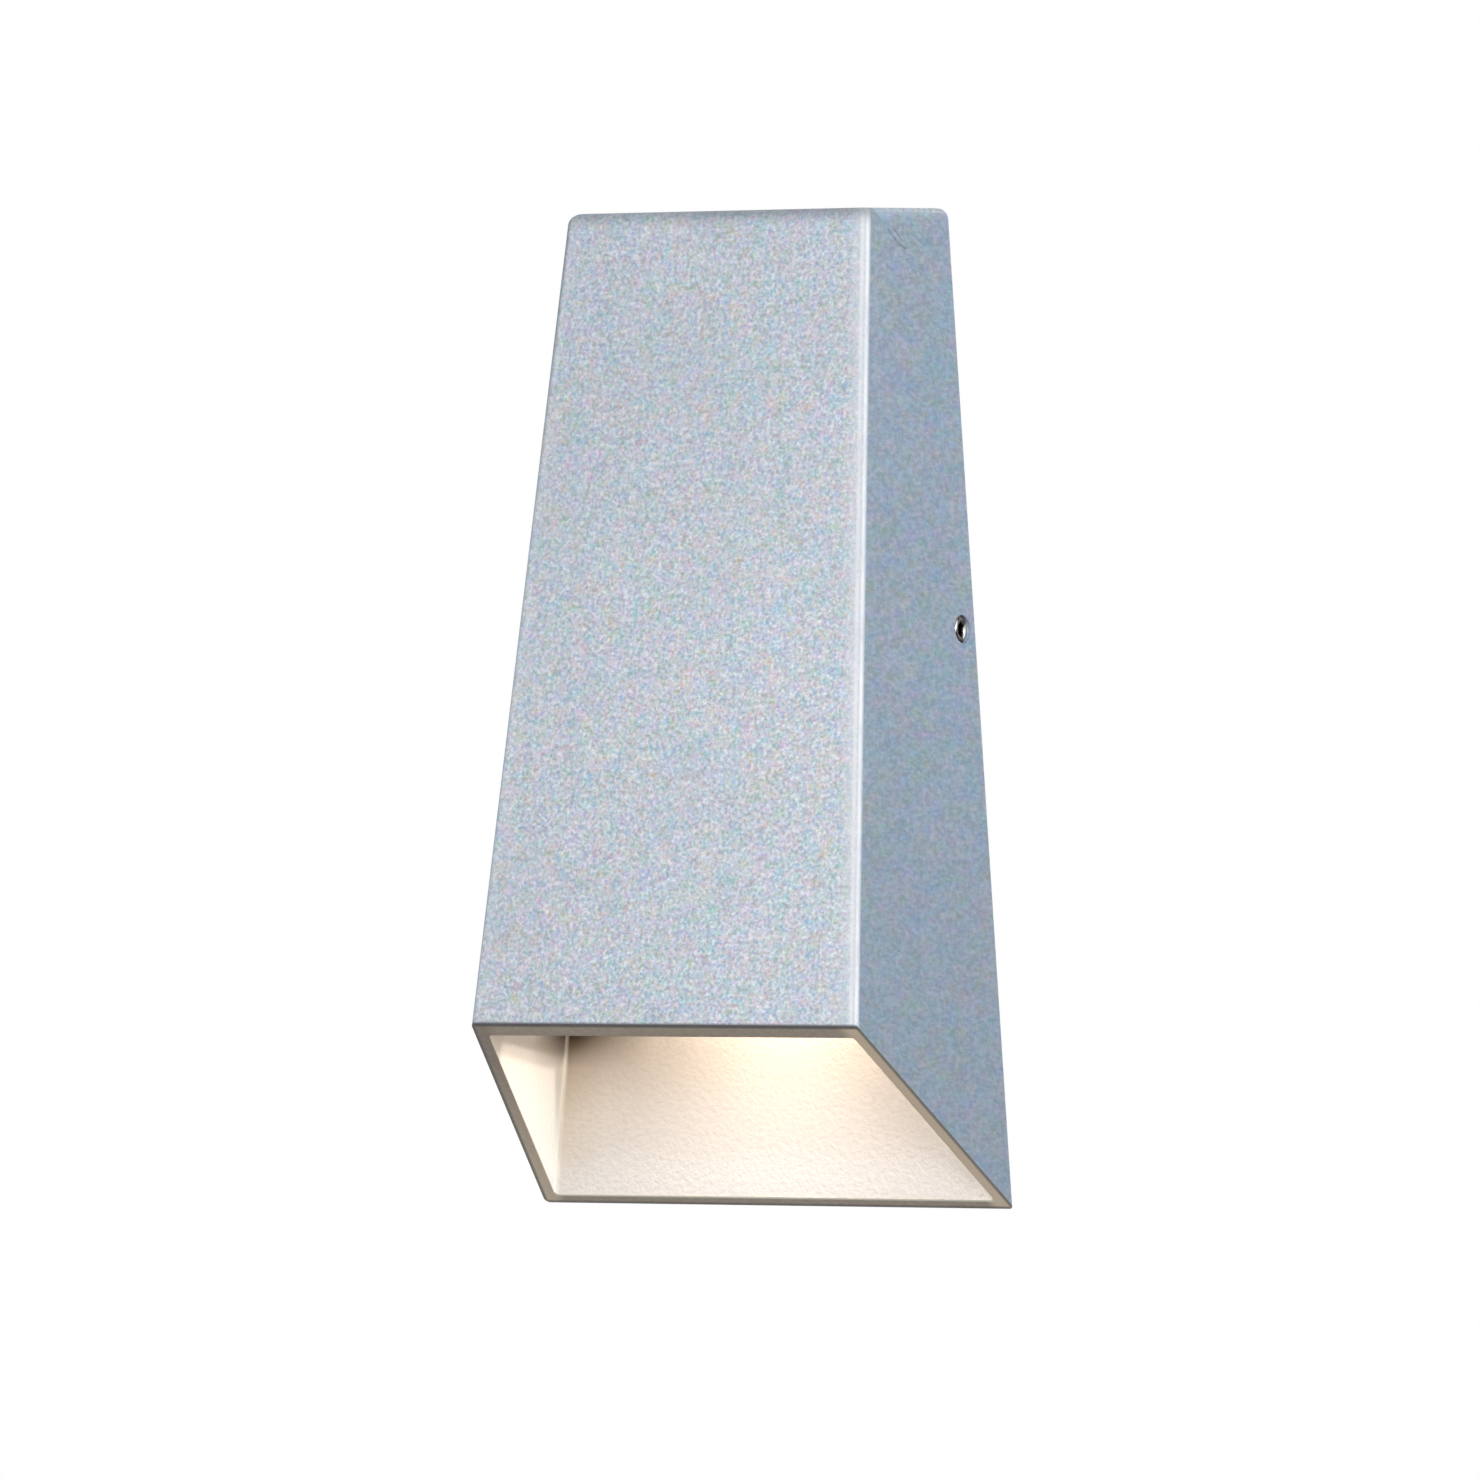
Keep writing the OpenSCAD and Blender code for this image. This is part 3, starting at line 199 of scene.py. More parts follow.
COAT_METALLIC = 0.15
DRAWN_NOISE = (3, 0.6)
PLASTIC_NOISE = (2, 0.5)
ZINC_CELLS = 300
ZINC_SWAY_SCALE = 260
ZINC_SWAY = 0.0016
TRACK_GAP = 0.06
TRACK_SHADE = 0.93
CHIP_GLOW = 2.2
GLASS_TINGE = (0.93, 0.985, 0.965, 1.0)
GLASS_IOR = 1.5
# Which way the painted glints lie on a set screw's lip: back and down, as shares of the distance
GLINT_WAY = (0.95, -0.30)

# Slots of metal: name, colour, roughness, drawn lines along each axis, spread of the shades, edge in metres
METALS = {
    "brass_plated": ("plated_brass", (214, 190, 120), 0.30, (60, 60, 900), 0.10, 0.00015),
    "set_screw_steel": ("dark_steel", (66, 64, 62), 0.30, (700, 90, 90), 0.2, 0.00012),
    "cover_sheet": ("mill_sheet", (188, 190, 192), 0.38, (40, 40, 1100), 0.10, SHARP_EDGE),
    "screw_steel": ("plated_steel", (200, 200, 203), 0.26, (300, 300, 300), 0.08, 0.00012),
    "brass": ("brass", (214, 178, 96), 0.28, (90, 90, 700), 0.12, 0.00012),
    "tinned_copper": ("tinned_copper", (206, 206, 204), 0.32, (200, 200, 200), 0.1, 0.00012),
}
# Slots of plastic, rubber and paint: name, colour, roughness, grain in a metre, share of the darker shade
PLASTICS = {
    "black_rubber": ("black_rubber", (38, 38, 40), 0.62, 700, 0.7),
    "reflector_white": ("reflector_white", (244, 244, 241), 0.30, 600, 0.94),
    "pale_silicone": ("pale_silicone", (216, 216, 210), 0.5, 600, 0.9),
    "frame_coat": ("frame_coat", (206, 203, 196), 0.42, 800, 0.88),
    "driver_plastic": ("driver_case_plastic", (238, 238, 233), 0.45, 900, 0.93),
    "driver_lid_plastic": ("driver_lid_plastic", (230, 230, 225), 0.45, 900, 0.93),
    "ferrite": ("ferrite", (58, 56, 54), 0.5, 500, 0.7),
    "capacitor_sleeve": ("capacitor_sleeve", (34, 40, 58), 0.3, 300, 0.8),
    "connector_plastic": ("connector_plastic", (64, 132, 84), 0.4, 700, 0.85),
    "terminal_plastic": ("terminal_plastic", (230, 227, 214), 0.42, 700, 0.9),
    "lead_brown": ("lead_brown", (92, 66, 52), 0.4, 500, 0.8),
    "lead_green": ("lead_green", (120, 156, 56), 0.4, 500, 0.8),
    "lead_red": ("lead_red", (178, 38, 32), 0.4, 500, 0.8),
}
# Slots of boards: name, solder mask, copper that shows through, tracks in a metre
BOARDS = {
    "white_board": ("white_board", (238, 240, 238), (206, 208, 204), 260),
    "circuit_board": ("green_board", (44, 110, 66), (120, 140, 70), 340),
}

# The chips and their lenses, in millimetres, then a lens in rings: how wide and how high each is, as shares
CHIP = 3.5
LENS_HALF = 1.45
LENS_RISE = 0.35
LENS_SIDES = 32
LENS_STEPS = ((1.0, -0.1), (1.0, 0.25), (0.93, 0.55), (0.78, 0.82), (0.5, 0.96), (0.2, 1.0))
LENS_SQUARENESS = 0.5
# The lip of a set screw in rings: how far past the screw's end, its radius, and how much of a hexagon it is
SCREW_SIDES = 48
LIP_STEPS = ((-0.50, 1.42, 1.0), (0.05, 1.42, 1.0), (0.15, 1.58, 0.6), (0.20, 1.76, 0.2), (0.20, 1.90, 0.0),
             (0.15, 2.08, 0.0), (0.04, 2.24, 0.0), (-0.06, 2.30, 0.0), (-0.40, 1.75, 0.0))

# Studio lamps: place and size in metres, power in watts and colour
STUDIO_LAMPS = {
    "key": ((-1.0, -2.4, 0.9), 1.2, 15.0, (1.0, 0.94, 0.89)),
    "front": ((1.28, -2.21, 0.50), 0.5, 18.0, (1.0, 0.97, 0.94)),
    "side": ((2.4, -1.2, 0.7), 1.4, 9.7, (0.70, 0.88, 1.0)),
    "back": ((0.7, 2.3, 0.8), 1.6, 14.0, (1.0, 0.97, 0.94)),
}
AMBIENT = (0.78, 0.91, 1.0, 1.0)
AMBIENT_STRENGTH = 0.42

# Lamps in the two units, in millimetres and watts
WARM = (1.0, 0.89, 0.81)
LAMP_SIZE = 0.8
LOW_LAMP_POWER = 0.031
TOP_LAMP_POWER = 0.0006
# How far the lower unit's front and rear lamp stay under its chips, and the upper unit's lamps over theirs
LOW_LAMP_DROPS = (1.7, 0.5)
TOP_LAMP_RISE = LENS_RISE * 1.3
# What the lower reflector throws out of the window: place across, gap under the glass, and size
FILL_ACROSS = 4.0
FILL_GAP = 0.5
FILL_SIZE = 8.0
FILL_POWER = 0.011

# The floor: how far it is under the part and how far it reaches, in metres, and how it throws light back
FLOOR_DROP = 0.5
FLOOR_HALF = 9.0
FLOOR_BOUNCE = (0.28, 0.275, 0.27, 1.0)
FLOOR_GLOW = 0.50
FLOOR_ROUGHNESS = 0.9


def srgb(r, g, b):
    """A colour written as 0 to 255, as the shader wants it."""
    def linear(value):
        share = value / 255
        return share / 12.92 if share <= 0.04045 else ((share + 0.055) / 1.055) ** 2.4
    return (linear(r), linear(g), linear(b), 1.0)


def tone(name):
    return srgb(*TONES[name])


def scaled(colour, share):
    """A colour made darker, or lighter up to full."""
    return tuple(min(1.0, value * share) for value in colour[:3]) + (1.0,)


class Tree:
    """A material being made, with short calls for the nodes that it is made of."""

    def __init__(self, name):
        self.material = bpy.data.materials.new(name)
        self.material.use_nodes = True
        self.nodes = self.material.node_tree.nodes
        self.links = self.material.node_tree.links
        self.nodes.clear()
        self.out = self.nodes.new("ShaderNodeOutputMaterial")
        self.shader = self.nodes.new("ShaderNodeBsdfPrincipled")
        self.links.new(self.shader.outputs["BSDF"], self.out.inputs["Surface"])
        self.place = self.nodes.new("ShaderNodeTexCoord").outputs["Object"]

    def set(self, **values):
        for name, value in values.items():
            self.shader.inputs[name.replace("_", " ")].default_value = value

    def feed(self, name, socket):
        self.links.new(socket, self.shader.inputs[name])

    def put(self, target, value):
        if isinstance(value, bpy.types.NodeSocket):
            self.links.new(value, target)
        else:
            target.default_value = value

    def math(self, operation, *values):
        node = self.nodes.new("ShaderNodeMath")
        node.operation = operation
        for socket, value in zip(node.inputs, values):
            self.put(socket, value)
        return node.outputs[0]

    def product(self, first, *others):
        for other in others:
            first = self.math("MULTIPLY", first, other)
        return first

    def noise(self, scale, detail=2.0, rough=0.5, vector=None, output="Fac"):
        """A noise that repeats so many times in a metre or, with three numbers, along each axis."""
        if isinstance(scale, tuple):
            scale, vector = 1.0, self.stretched(*scale)
        node = self.nodes.new("ShaderNodeTexNoise")
        node.inputs["Scale"].default_value = scale
        node.inputs["Detail"].default_value = detail
        node.inputs["Roughness"].default_value = rough
        self.links.new(vector or self.place, node.inputs["Vector"])
        return node.outputs[output]

    def pattern(self, name, vector=None):
        return self.noise(*NOISES[name], vector=vector)

    def tints(self, scale, vector=None):
        """Three noises at once, as a colour round grey."""
        split = self.nodes.new("ShaderNodeSeparateColor")
        join = self.nodes.new("ShaderNodeCombineColor")
        self.links.new(self.noise(scale, vector=vector, output="Color"), split.inputs[0])
        self.links.new(split.outputs[0], join.inputs[0])
        self.links.new(self.spread(split.outputs[1], *GREEN_RANGE), join.inputs[1])
        self.links.new(split.outputs[2], join.inputs[2])
        return join.outputs[0]

    def stretched(self, x, y, z):
        node = self.nodes.new("ShaderNodeMapping")
        node.inputs["Scale"].default_value = (x, y, z)
        self.links.new(self.place, node.inputs["Vector"])
        return node.outputs["Vector"]

    def ramp(self, value, stops):
        node = self.nodes.new("ShaderNodeValToRGB")
        ramp = node.color_ramp
        while len(ramp.elements) < len(stops):
            ramp.elements.new(0.5)
        for element, (at, colour) in zip(ramp.elements, stops):
            element.position = at
            element.color = colour
        self.links.new(value, node.inputs["Fac"])
        return node.outputs["Color"]

    def shades(self, value, name):
        return self.ramp(value, [(at, srgb(*colour)) for at, colour in STOPS[name]])

    def spread(self, value, low, high, to_low=0.0, to_high=1.0):
        node = self.nodes.new("ShaderNodeMapRange")
        for name, number in zip(("From Min", "From Max", "To Min", "To Max"), (low, high, to_low, to_high)):
            node.inputs[name].default_value = number
        self.links.new(value, node.inputs["Value"])
        return node.outputs["Result"]

    def band(self, value, name):
        return self.spread(value, *BANDS[name])

    def across(self, name):
        return self.spread(self.parts()[0], *ACROSS[name])

    def mix(self, share, first, second, blend="MIX"):
        node = self.nodes.new("ShaderNodeMix")
        node.data_type = "RGBA"
        node.blend_type = blend
        self.put(node.inputs["Factor"], share)
        self.put(node.inputs[6], first)
        self.put(node.inputs[7], second)
        return node.outputs[2]

    def shade(self, base, share, name):
        """The base colour with a share of one of the named colours over it."""
        return self.mix(share, base, tone(name))

    def roughen(self, value, name, middle=0.0):
        low, high, at_low, at_high = ROUGHNESS[name]
        self.feed("Roughness", self.spread(value, low, high, middle + at_low, middle + at_high))

    def bump(self, height, name, normal=None):
        node = self.nodes.new("ShaderNodeBump")
        strength, distance = BUMPS[name]
        node.inputs["Strength"].default_value = strength
        node.inputs["Distance"].default_value = distance
        self.links.new(height, node.inputs["Height"])
        if normal is not None:
            self.links.new(normal, node.inputs["Normal"])
        return node.outputs["Normal"]

    def soft_edge(self, radius):
        node = self.nodes.new("ShaderNodeBevel")
        node.samples = EDGE_SAMPLES
        node.inputs["Radius"].default_value = radius
        return node.outputs["Normal"]

    def parts(self):
        node = self.nodes.new("ShaderNodeSeparateXYZ")
        self.links.new(self.place, node.inputs["Vector"])
        return node.outputs

    def join_shaders(self, share, second):
        """Shows the second shader instead of the material's own where the share is 1."""
        join = self.nodes.new("ShaderNodeMixShader")
        self.links.new(share, join.inputs["Fac"])
        self.links.new(self.shader.outputs["BSDF"], join.inputs[1])
        self.links.new(second.outputs["BSDF"], join.inputs[2])
        self.links.new(join.outputs["Shader"], self.out.inputs["Surface"])


def frame_low_z():
    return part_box("housing")[0].z


def housing_gaps(tree):
    """How far a point of the housing is from its sides, front, back, top and lowest point, in millimetres.

    near_side, near_front and near_mouth, the last to the mouth's plane, have no sign.
    """
    x, y, z = tree.parts()
    across = tree.math("MULTIPLY", tree.math("ABSOLUTE", x), 1 / MM)
    depth = tree.math("MULTIPLY", y, -1 / MM)
    height = tree.math("MULTIPLY", tree.math("SUBTRACT", z, frame_low_z()), 1 / MM)
    from_top = tree.math("SUBTRACT", HEIGHT, height)
    half = tree.math("MULTIPLY_ADD", from_top, FLARE_UP, TOP_BACK_HALF)
    half = tree.math("MULTIPLY_ADD", depth, -FLARE_OUT, half)
    side = tree.math("SUBTRACT", half, across)
    front = tree.math("SUBTRACT", tree.math("MULTIPLY_ADD", from_top, FRONT_SLOPE, TOP_DEPTH), depth)
    mouth = tree.math("SUBTRACT", tree.math("MULTIPLY", height, math.cos(MOUTH_ANGLE)),
                      tree.math("MULTIPLY", depth, math.sin(MOUTH_ANGLE)))
    near_side, near_front, near_mouth = (tree.math("ABSOLUTE", value) for value in (side, front, mouth))
    return SimpleNamespace(side=side, front=front, depth=depth, from_top=from_top, height=height,
                           near_side=near_side, near_front=near_front, near_mouth=near_mouth)


def speckled(tree, gaps, grain):
    """The front's colour: grain under faint blue and rose mottling, painted lighter to the right and darker
    to the top.
    """
    coat = tree.shades(grain, "coat")
    for scale, share in MOTTLES:
        coat = tree.mix(share, coat, tree.tints(scale), "OVERLAY")
    coat = tree.shade(coat, tree.band(tree.pattern("cloud"), "cloud"), "cloud")
    # Painted light and shade: lighter towards the right, darker towards the top
    coat = tree.mix(tree.across("lighter"), coat, PAINTED_RIGHT_LIGHT, "MULTIPLY")
    return tree.mix(tree.band(gaps.height, "painted top shade"), coat, tone("top"), "MULTIPLY")


def scratch(tree, gaps, start, end):
    """A thin uneven mark on the right side panel, between two points given as depth and height."""
    run = Vector(end) - Vector(start)
    ahead, aside = run.normalized(), run.normalized().orthogonal()
    from_start = [tree.math("SUBTRACT", value, at) for value, at in zip((gaps.depth, gaps.height), start)]

    def reach(way):
        return tree.math("ADD", tree.math("MULTIPLY", from_start[0], way.x),
                         tree.math("MULTIPLY", from_start[1], way.y))
    along, off = reach(ahead), tree.math("ABSOLUTE", reach(aside))
    past, before = STROKE_FADE
    begins = tree.spread(along, -past, before)
    ends = tree.spread(along, run.length + past, run.length - before)
    uneven = tree.band(tree.pattern("scuff"), "scuff")
    return tree.product(tree.band(off, "scuff width"), begins, ends, tree.across("right"), uneven)


def side_panel(tree, gaps):
    """The side panels' colour: smoother than the front, painted darker as shade, most low down, with the
    scuff on the right one.
    """
    drawn = tree.stretched(1.0, SIDE_DRAW, 1.0)
    panel = tree.shades(tree.pattern("side grain", drawn), "side")
    for scale, share in SIDE_MOTTLES:
        panel = tree.mix(share, panel, tree.tints(scale, drawn), "OVERLAY")
    # Painted shade: darker towards the bottom of the side panels
    panel = tree.shade(panel, tree.band(gaps.height, "low side shade"), "low side shade")
    for start, end in SCUFF:
        panel = tree.shade(panel, scratch(tree, gaps, start, end), "scuff")
    return panel


def edge_lines(tree, coat, gaps):
    """Two painted highlight lines, partly wear, along the upright front edges, more so on the right, and a
    fade up to them.
    """
    round_edge = tree.math("SUBTRACT", gaps.side, gaps.front)
    rubbed_and_lit = tree.band(tree.pattern("rubbed_and_lit"), "rubbed_and_lit")
    # Painted highlight, partly wear: full on the right edge, faint on the left
    by_edge = tree.product(tree.band(tree.math("ADD", gaps.side, gaps.front), "by edge"), tree.across("worn"))
    fade = tree.product(tree.band(round_edge, "edge fade"), tree.band(round_edge, "edge fade end"), by_edge)
    coat = tree.shade(coat, fade, "edge fade")
    for place, half, share in EDGE_LINES:
        away = tree.math("ABSOLUTE", tree.math("SUBTRACT", round_edge, place))
        line = tree.spread(away, half * LINE_FADE[0], half * LINE_FADE[1], 0.0, share)
        coat = tree.shade(coat, tree.product(by_edge, line, rubbed_and_lit), "edge line")
    return coat


def outer_coat(tree, gaps, grain):
    """The coat outside the mouth: front, side panels, edges of wear and painted highlight, painted shade by
    top and mouth.
    """
    on_front = tree.band(gaps.near_front, "on face")
    on_side = tree.band(gaps.near_side, "on face")
    coat = tree.mix(on_side, speckled(tree, gaps, grain), side_panel(tree, gaps))
    coat = tree.shade(coat, tree.product(on_side, tree.band(gaps.depth, "back line")), "back line")
    coat = tree.shade(coat, tree.band(tree.pattern("marks"), "marks"), "marks")
    coat = edge_lines(tree, coat, gaps)
    # Painted shade: a dark line along the front's lower edge, by the mouth
    coat = tree.shade(coat, tree.product(on_front, tree.band(gaps.near_mouth, "low line")), "low line")
    # Painted shade: a dark line under the front's rounded top edge, uneven along it
    top_line = tree.product(tree.band(gaps.near_front, "top line front"),
                            tree.band(gaps.from_top, "top line"),
                            tree.band(tree.pattern("uneven"), "uneven"))
    coat = tree.shade(coat, top_line, "top line")
    # Painted shade: a dark line down the left upright edge, towards the top
    left_line = tree.product(tree.band(gaps.side, "left line"), tree.band(gaps.from_top, "left line height"),
                             tree.across("left"), tree.band(gaps.near_front, "left line front"))
    return tree.shade(coat, left_line, "left line")


def inside_mouth(tree, gaps):
    """1 where a point of the housing is in the mouth, and 0 where it is outside."""
    deepest = tree.math("MINIMUM", tree.math("MINIMUM", gaps.side, gaps.front), gaps.depth)
    return tree.product(tree.band(deepest, "inside"), tree.band(gaps.height, "under ceiling"))


def mouth_colour(tree, gaps, peel):
    """The coat in the mouth with painted light and shade: warm, darker up, lighter side walls, corner shadow
    and highlight.
    """
    # Painted shade: the mouth's coat darker and warmer towards the top
    by_height = tree.band(gaps.height, "mouth height")
    colour = tree.mix(by_height, tone("mouth low"), tone("mouth high"))
    colour = tree.shade(colour, tree.band(peel, "peel"), "peel")
    # Painted light: the mouth's side walls lighter than its back wall
    on_wall = tree.band(gaps.side, "on wall")
    colour = tree.mix(on_wall, colour, tree.mix(by_height, tone("wall low"), tone("wall high")))
    # Painted shade: the back wall darker by its upright corners
    corner = tree.math("ADD", tree.math("SUBTRACT", gaps.side, SIDE_WALL),
                       tree.math("SUBTRACT", gaps.depth, BACK_WALL))
    by_corner = tree.product(tree.band(corner, "by corner"), tree.band(gaps.height, "by corner height"),
                             tree.math("SUBTRACT", 1.0, on_wall))
    colour = tree.shade(colour, by_corner, "by corner")
    # Painted shadow in the upper back corners, then a painted highlight line down each upright corner
    for name in ("corner shadow", "corner line"):
        share = tree.product(tree.band(corner, name), tree.band(gaps.height, name + " height"),
                             tree.band(gaps.height, name + " end"))
        colour = tree.shade(colour, share, name)
    return colour


def rim_colour(tree, gaps):
    """The cut rim round the mouth, with painted shade along its outer edge and painted light to the right and
    low down.
    """
    colour = tree.shade(tree.shades(tree.pattern("rim"), "rim"), RIM_SHARE, "rim")
    by_side = tree.band(gaps.near_side, "by side")
    to_right = tree.across("right")
    # Painted light and shade: the rim lighter on the right, darker up the left, lighter low down
    colour = tree.shade(colour, tree.product(by_side, to_right), "rim right")
    to_left = tree.product(by_side, tree.math("SUBTRACT", 1.0, to_right), tree.band(gaps.height, "rim left"))
    colour = tree.shade(colour, to_left, "rim left")
    colour = tree.shade(colour, tree.product(by_side, tree.band(gaps.height, "rim low")), "rim low")
    # Painted highlight: a light line along the back rim's inner edge
    inner_line = tree.product(tree.band(gaps.depth, "inner line"),
                              tree.band(gaps.near_side, "inner line side"),
                              tree.band(gaps.height, "inner line height"))
    colour = tree.shade(colour, inner_line, "inner line")
    # Painted shade: dark lines where the rim meets the front and along its outer edges
    colour = tree.shade(colour, tree.band(gaps.near_front, "rim front"), "rim front")
    outer = tree.math("MINIMUM", gaps.near_side, gaps.depth)
    return tree.shade(colour, tree.band(outer, "rim outer"), "rim outer")


def coat_material():
    """The silver-grey textured coat, painted warm in the mouth, with painted light and shade along its edges,
    and a bare-looking rim.
    """
    tree = Tree("cast_coat")
    gaps = housing_gaps(tree)
    grain, peel = tree.pattern("grain"), tree.pattern("peel")
    colour = tree.mix(inside_mouth(tree, gaps), outer_coat(tree, gaps, grain), mouth_colour(tree, gaps, peel))
    colour = tree.mix(tree.band(gaps.near_mouth, "rim"), colour, rim_colour(tree, gaps))
    tree.feed("Base Color", colour)
    tree.roughen(grain, "coat")
    tree.set(Metallic=COAT_METALLIC)
    tree.feed("Normal", tree.bump(peel, "peel", tree.bump(grain, "grain", tree.soft_edge(SOFT_EDGE))))
    return tree.material


def metal(name, colour, rough, scale, spread, edge):
    """Worked metal with fine drawn lines along one direction, small marks and worn edges."""
    tree = Tree(name)
    colour = srgb(*colour)
    lines = tree.noise(scale, *DRAWN_NOISE)
    marks = tree.pattern("metal marks")
    dark, light = scaled(colour, 1 - spread * 2), scaled(colour, 1 + spread)
    base = tree.ramp(lines, list(zip(DRAWN_STOPS, (dark, colour, light))))
    tree.feed("Base Color", tree.mix(tree.band(marks, "metal marks"), base, dark))
    tree.set(Metallic=1.0)
    tree.roughen(marks, "metal", rough)
    tree.feed("Normal", tree.bump(lines, "drawn", tree.soft_edge(edge)))
    return tree.material


def zinc_sheet():
    """Plated sheet with the faint crystals of zinc and some scuffs."""
    tree = Tree("zinc_sheet")
    warped = tree.nodes.new("ShaderNodeVectorMath")
    warped.operation = "MULTIPLY_ADD"
    tree.links.new(tree.noise(ZINC_SWAY_SCALE, output="Color"), warped.inputs[0])
    warped.inputs[1].default_value = (ZINC_SWAY, ZINC_SWAY, ZINC_SWAY)
    tree.links.new(tree.place, warped.inputs[2])
    cells = tree.nodes.new("ShaderNodeTexVoronoi")
    cells.inputs["Scale"].default_value = ZINC_CELLS
    tree.links.new(warped.outputs[0], cells.inputs["Vector"])
    crystals = tree.nodes.new("ShaderNodeRGBToBW")
    tree.links.new(cells.outputs["Color"], crystals.inputs["Color"])
    scuffs = tree.pattern("zinc scuffs")
    base = tree.shades(crystals.outputs["Val"], "zinc")
    tree.feed("Base Color", tree.shade(base, tree.band(scuffs, "zinc scuffs"), "zinc scuffs"))
    tree.set(Metallic=1.0)
    tree.roughen(crystals.outputs["Val"], "zinc")
    tree.feed("Normal", tree.bump(scuffs, "zinc", tree.soft_edge(SOFT_EDGE)))
    return tree.material


def moulded(name, colour, rough, grain, darker):
    """Moulded plastic or rubber with a fine grain and slight shade differences."""
    tree = Tree(name)
    colour = srgb(*colour)
    fine = tree.noise(grain * 2, *PLASTIC_NOISE)
    shaded = scaled(colour, darker)
    base = tree.mix(tree.band(tree.pattern("plastic shades"), "plastic shades"), colour, shaded)
    tree.feed("Base Color", tree.mix(tree.band(fine, "plastic grain"), base, shaded))
    tree.roughen(fine, "plastic", rough)
    tree.feed("Normal", tree.bump(fine, "plastic", tree.soft_edge(SOFT_EDGE)))
    return tree.material


def board(name, mask, copper, pitch):
    """Solder mask over copper tracks that show through it as a slight step and shade."""
    tree = Tree(name)
    mask, copper = srgb(*mask), srgb(*copper)
    tracks = tree.nodes.new("ShaderNodeTexBrick")
    tracks.inputs["Scale"].default_value = pitch
    tracks.inputs["Mortar Size"].default_value = TRACK_GAP
    tracks.inputs["Color1"].default_value = mask
    tracks.inputs["Color2"].default_value = scaled(mask, TRACK_SHADE)
    tracks.inputs["Mortar"].default_value = copper
    tree.links.new(tree.place, tracks.inputs["Vector"])
    grain = tree.pattern("board grain")
    tree.feed("Base Color", tree.mix(tree.band(grain, "board grain"), tracks.outputs["Color"], copper))
    tree.roughen(grain, "board")
    tree.feed("Normal", tree.bump(tracks.outputs["Fac"], "tracks", tree.soft_edge(SHARP_EDGE)))
    return tree.material


def phosphor():
    """The yellow face of a lit chip."""
    tree = Tree("phosphor")
    grain = tree.pattern("phosphor")
    tree.feed("Base Color", tree.shades(grain, "phosphor"))
    tree.feed("Emission Color", tree.shades(grain, "glow"))
    tree.set(Emission_Strength=CHIP_GLOW)
    tree.roughen(grain, "phosphor")
    tree.feed("Normal", tree.bump(grain, "fine"))
    return tree.material


def pane():
    """Clear glass that lets the lamps through, with a little dust and a green tinge."""
    tree = Tree("pane")
    tree.set(Base_Color=GLASS_TINGE, Transmission_Weight=1.0, IOR=GLASS_IOR)
    tree.roughen(tree.pattern("dust"), "glass")
    rays = tree.nodes.new("ShaderNodeLightPath")
    tree.join_shaders(rays.outputs["Is Shadow Ray"], tree.nodes.new("ShaderNodeBsdfTransparent"))
    return tree.material


def slot_materials():
    """One material for each slot of the record."""
    made = {"cast_housing": coat_material(), "steel_sheet": zinc_sheet(), "phosphor": phosphor(),
            "pane_glass": pane()}
    for maker, table in ((metal, METALS), (moulded, PLASTICS), (board, BOARDS)):
        made.update({slot: maker(*values) for slot, values in table.items()})
    return made


def dress_nodes(materials):
    """Gives every node of the part the material of its slot."""
    for entry in frame["record"]["subparts"]:
        node = frame["nodes"][entry["node"]]
        for slot in node.material_slots:
            slot.material = materials[entry["material_slot"]]


def add_lamp(name, place, target, size, power, colour):
    """A square lamp that looks from its place to its target."""
    data = bpy.data.lights.new(name, "AREA")
    data.size = size
    data.energy = power
    data.color = colour
    lamp = bpy.data.objects.new(name, data)
    bpy.context.scene.collection.objects.link(lamp)
    lamp.location = place
    lamp.rotation_euler = (Vector(target) - Vector(place)).to_track_quat("-Z", "Y").to_euler()
    return lamp


def studio_lamps():
    low, high = (Vector(corner) for corner in cad_box)
    for name, (place, size, power, colour) in STUDIO_LAMPS.items():
        add_lamp(name, place, (low + high) / 2, size, power, colour)


def unit_lamp(name, place, way, size, power):
    """A warm lamp in a light unit, looking up or down, that moves with the housing."""
    place = Vector(place)
    lamp = add_lamp(name, place, place + Vector((0, 0, way)), size * MM, power, WARM)
    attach(lamp, "housing")


def unit_lamps():
    """The light that the chips give, under the lower ones and over the upper ones."""
    chip = CHIP * MM
    low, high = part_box("lower_led_chips")
    for index, (y, drop) in enumerate(zip((low.y + chip / 2, high.y - chip / 2), LOW_LAMP_DROPS)):
        place = ((low.x + high.x) / 2, y, low.z - drop * MM)
        unit_lamp(f"lower_lamp_{index}", place, -1, LAMP_SIZE, LOW_LAMP_POWER)
    low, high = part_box("lower_glass")
    place = (FILL_ACROSS * MM, (low.y + high.y) / 2, low.z - FILL_GAP * MM)
    unit_lamp("lower_fill", place, -1, FILL_SIZE, FILL_POWER)
    low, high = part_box("upper_led_chips")
    for index, x in enumerate((low.x + chip / 2, high.x - chip / 2)):
        place = (x, (low.y + high.y) / 2, high.z + TOP_LAMP_RISE * MM)
        unit_lamp(f"upper_lamp_{index}", place, 1, LAMP_SIZE, TOP_LAMP_POWER)


def seen_ray(nodes, links):
    """1 for a ray of the camera, or one that a mirror or glass sends on."""
    rays = nodes.new("ShaderNodeLightPath").outputs
    seen = rays["Is Camera Ray"]
    for name in ("Is Glossy Ray", "Is Transmission Ray"):
        larger = nodes.new("ShaderNodeMath")
        larger.operation = "MAXIMUM"
        links.new(seen, larger.inputs[0])
        links.new(rays[name], larger.inputs[1])
        seen = larger.outputs[0]
    return seen


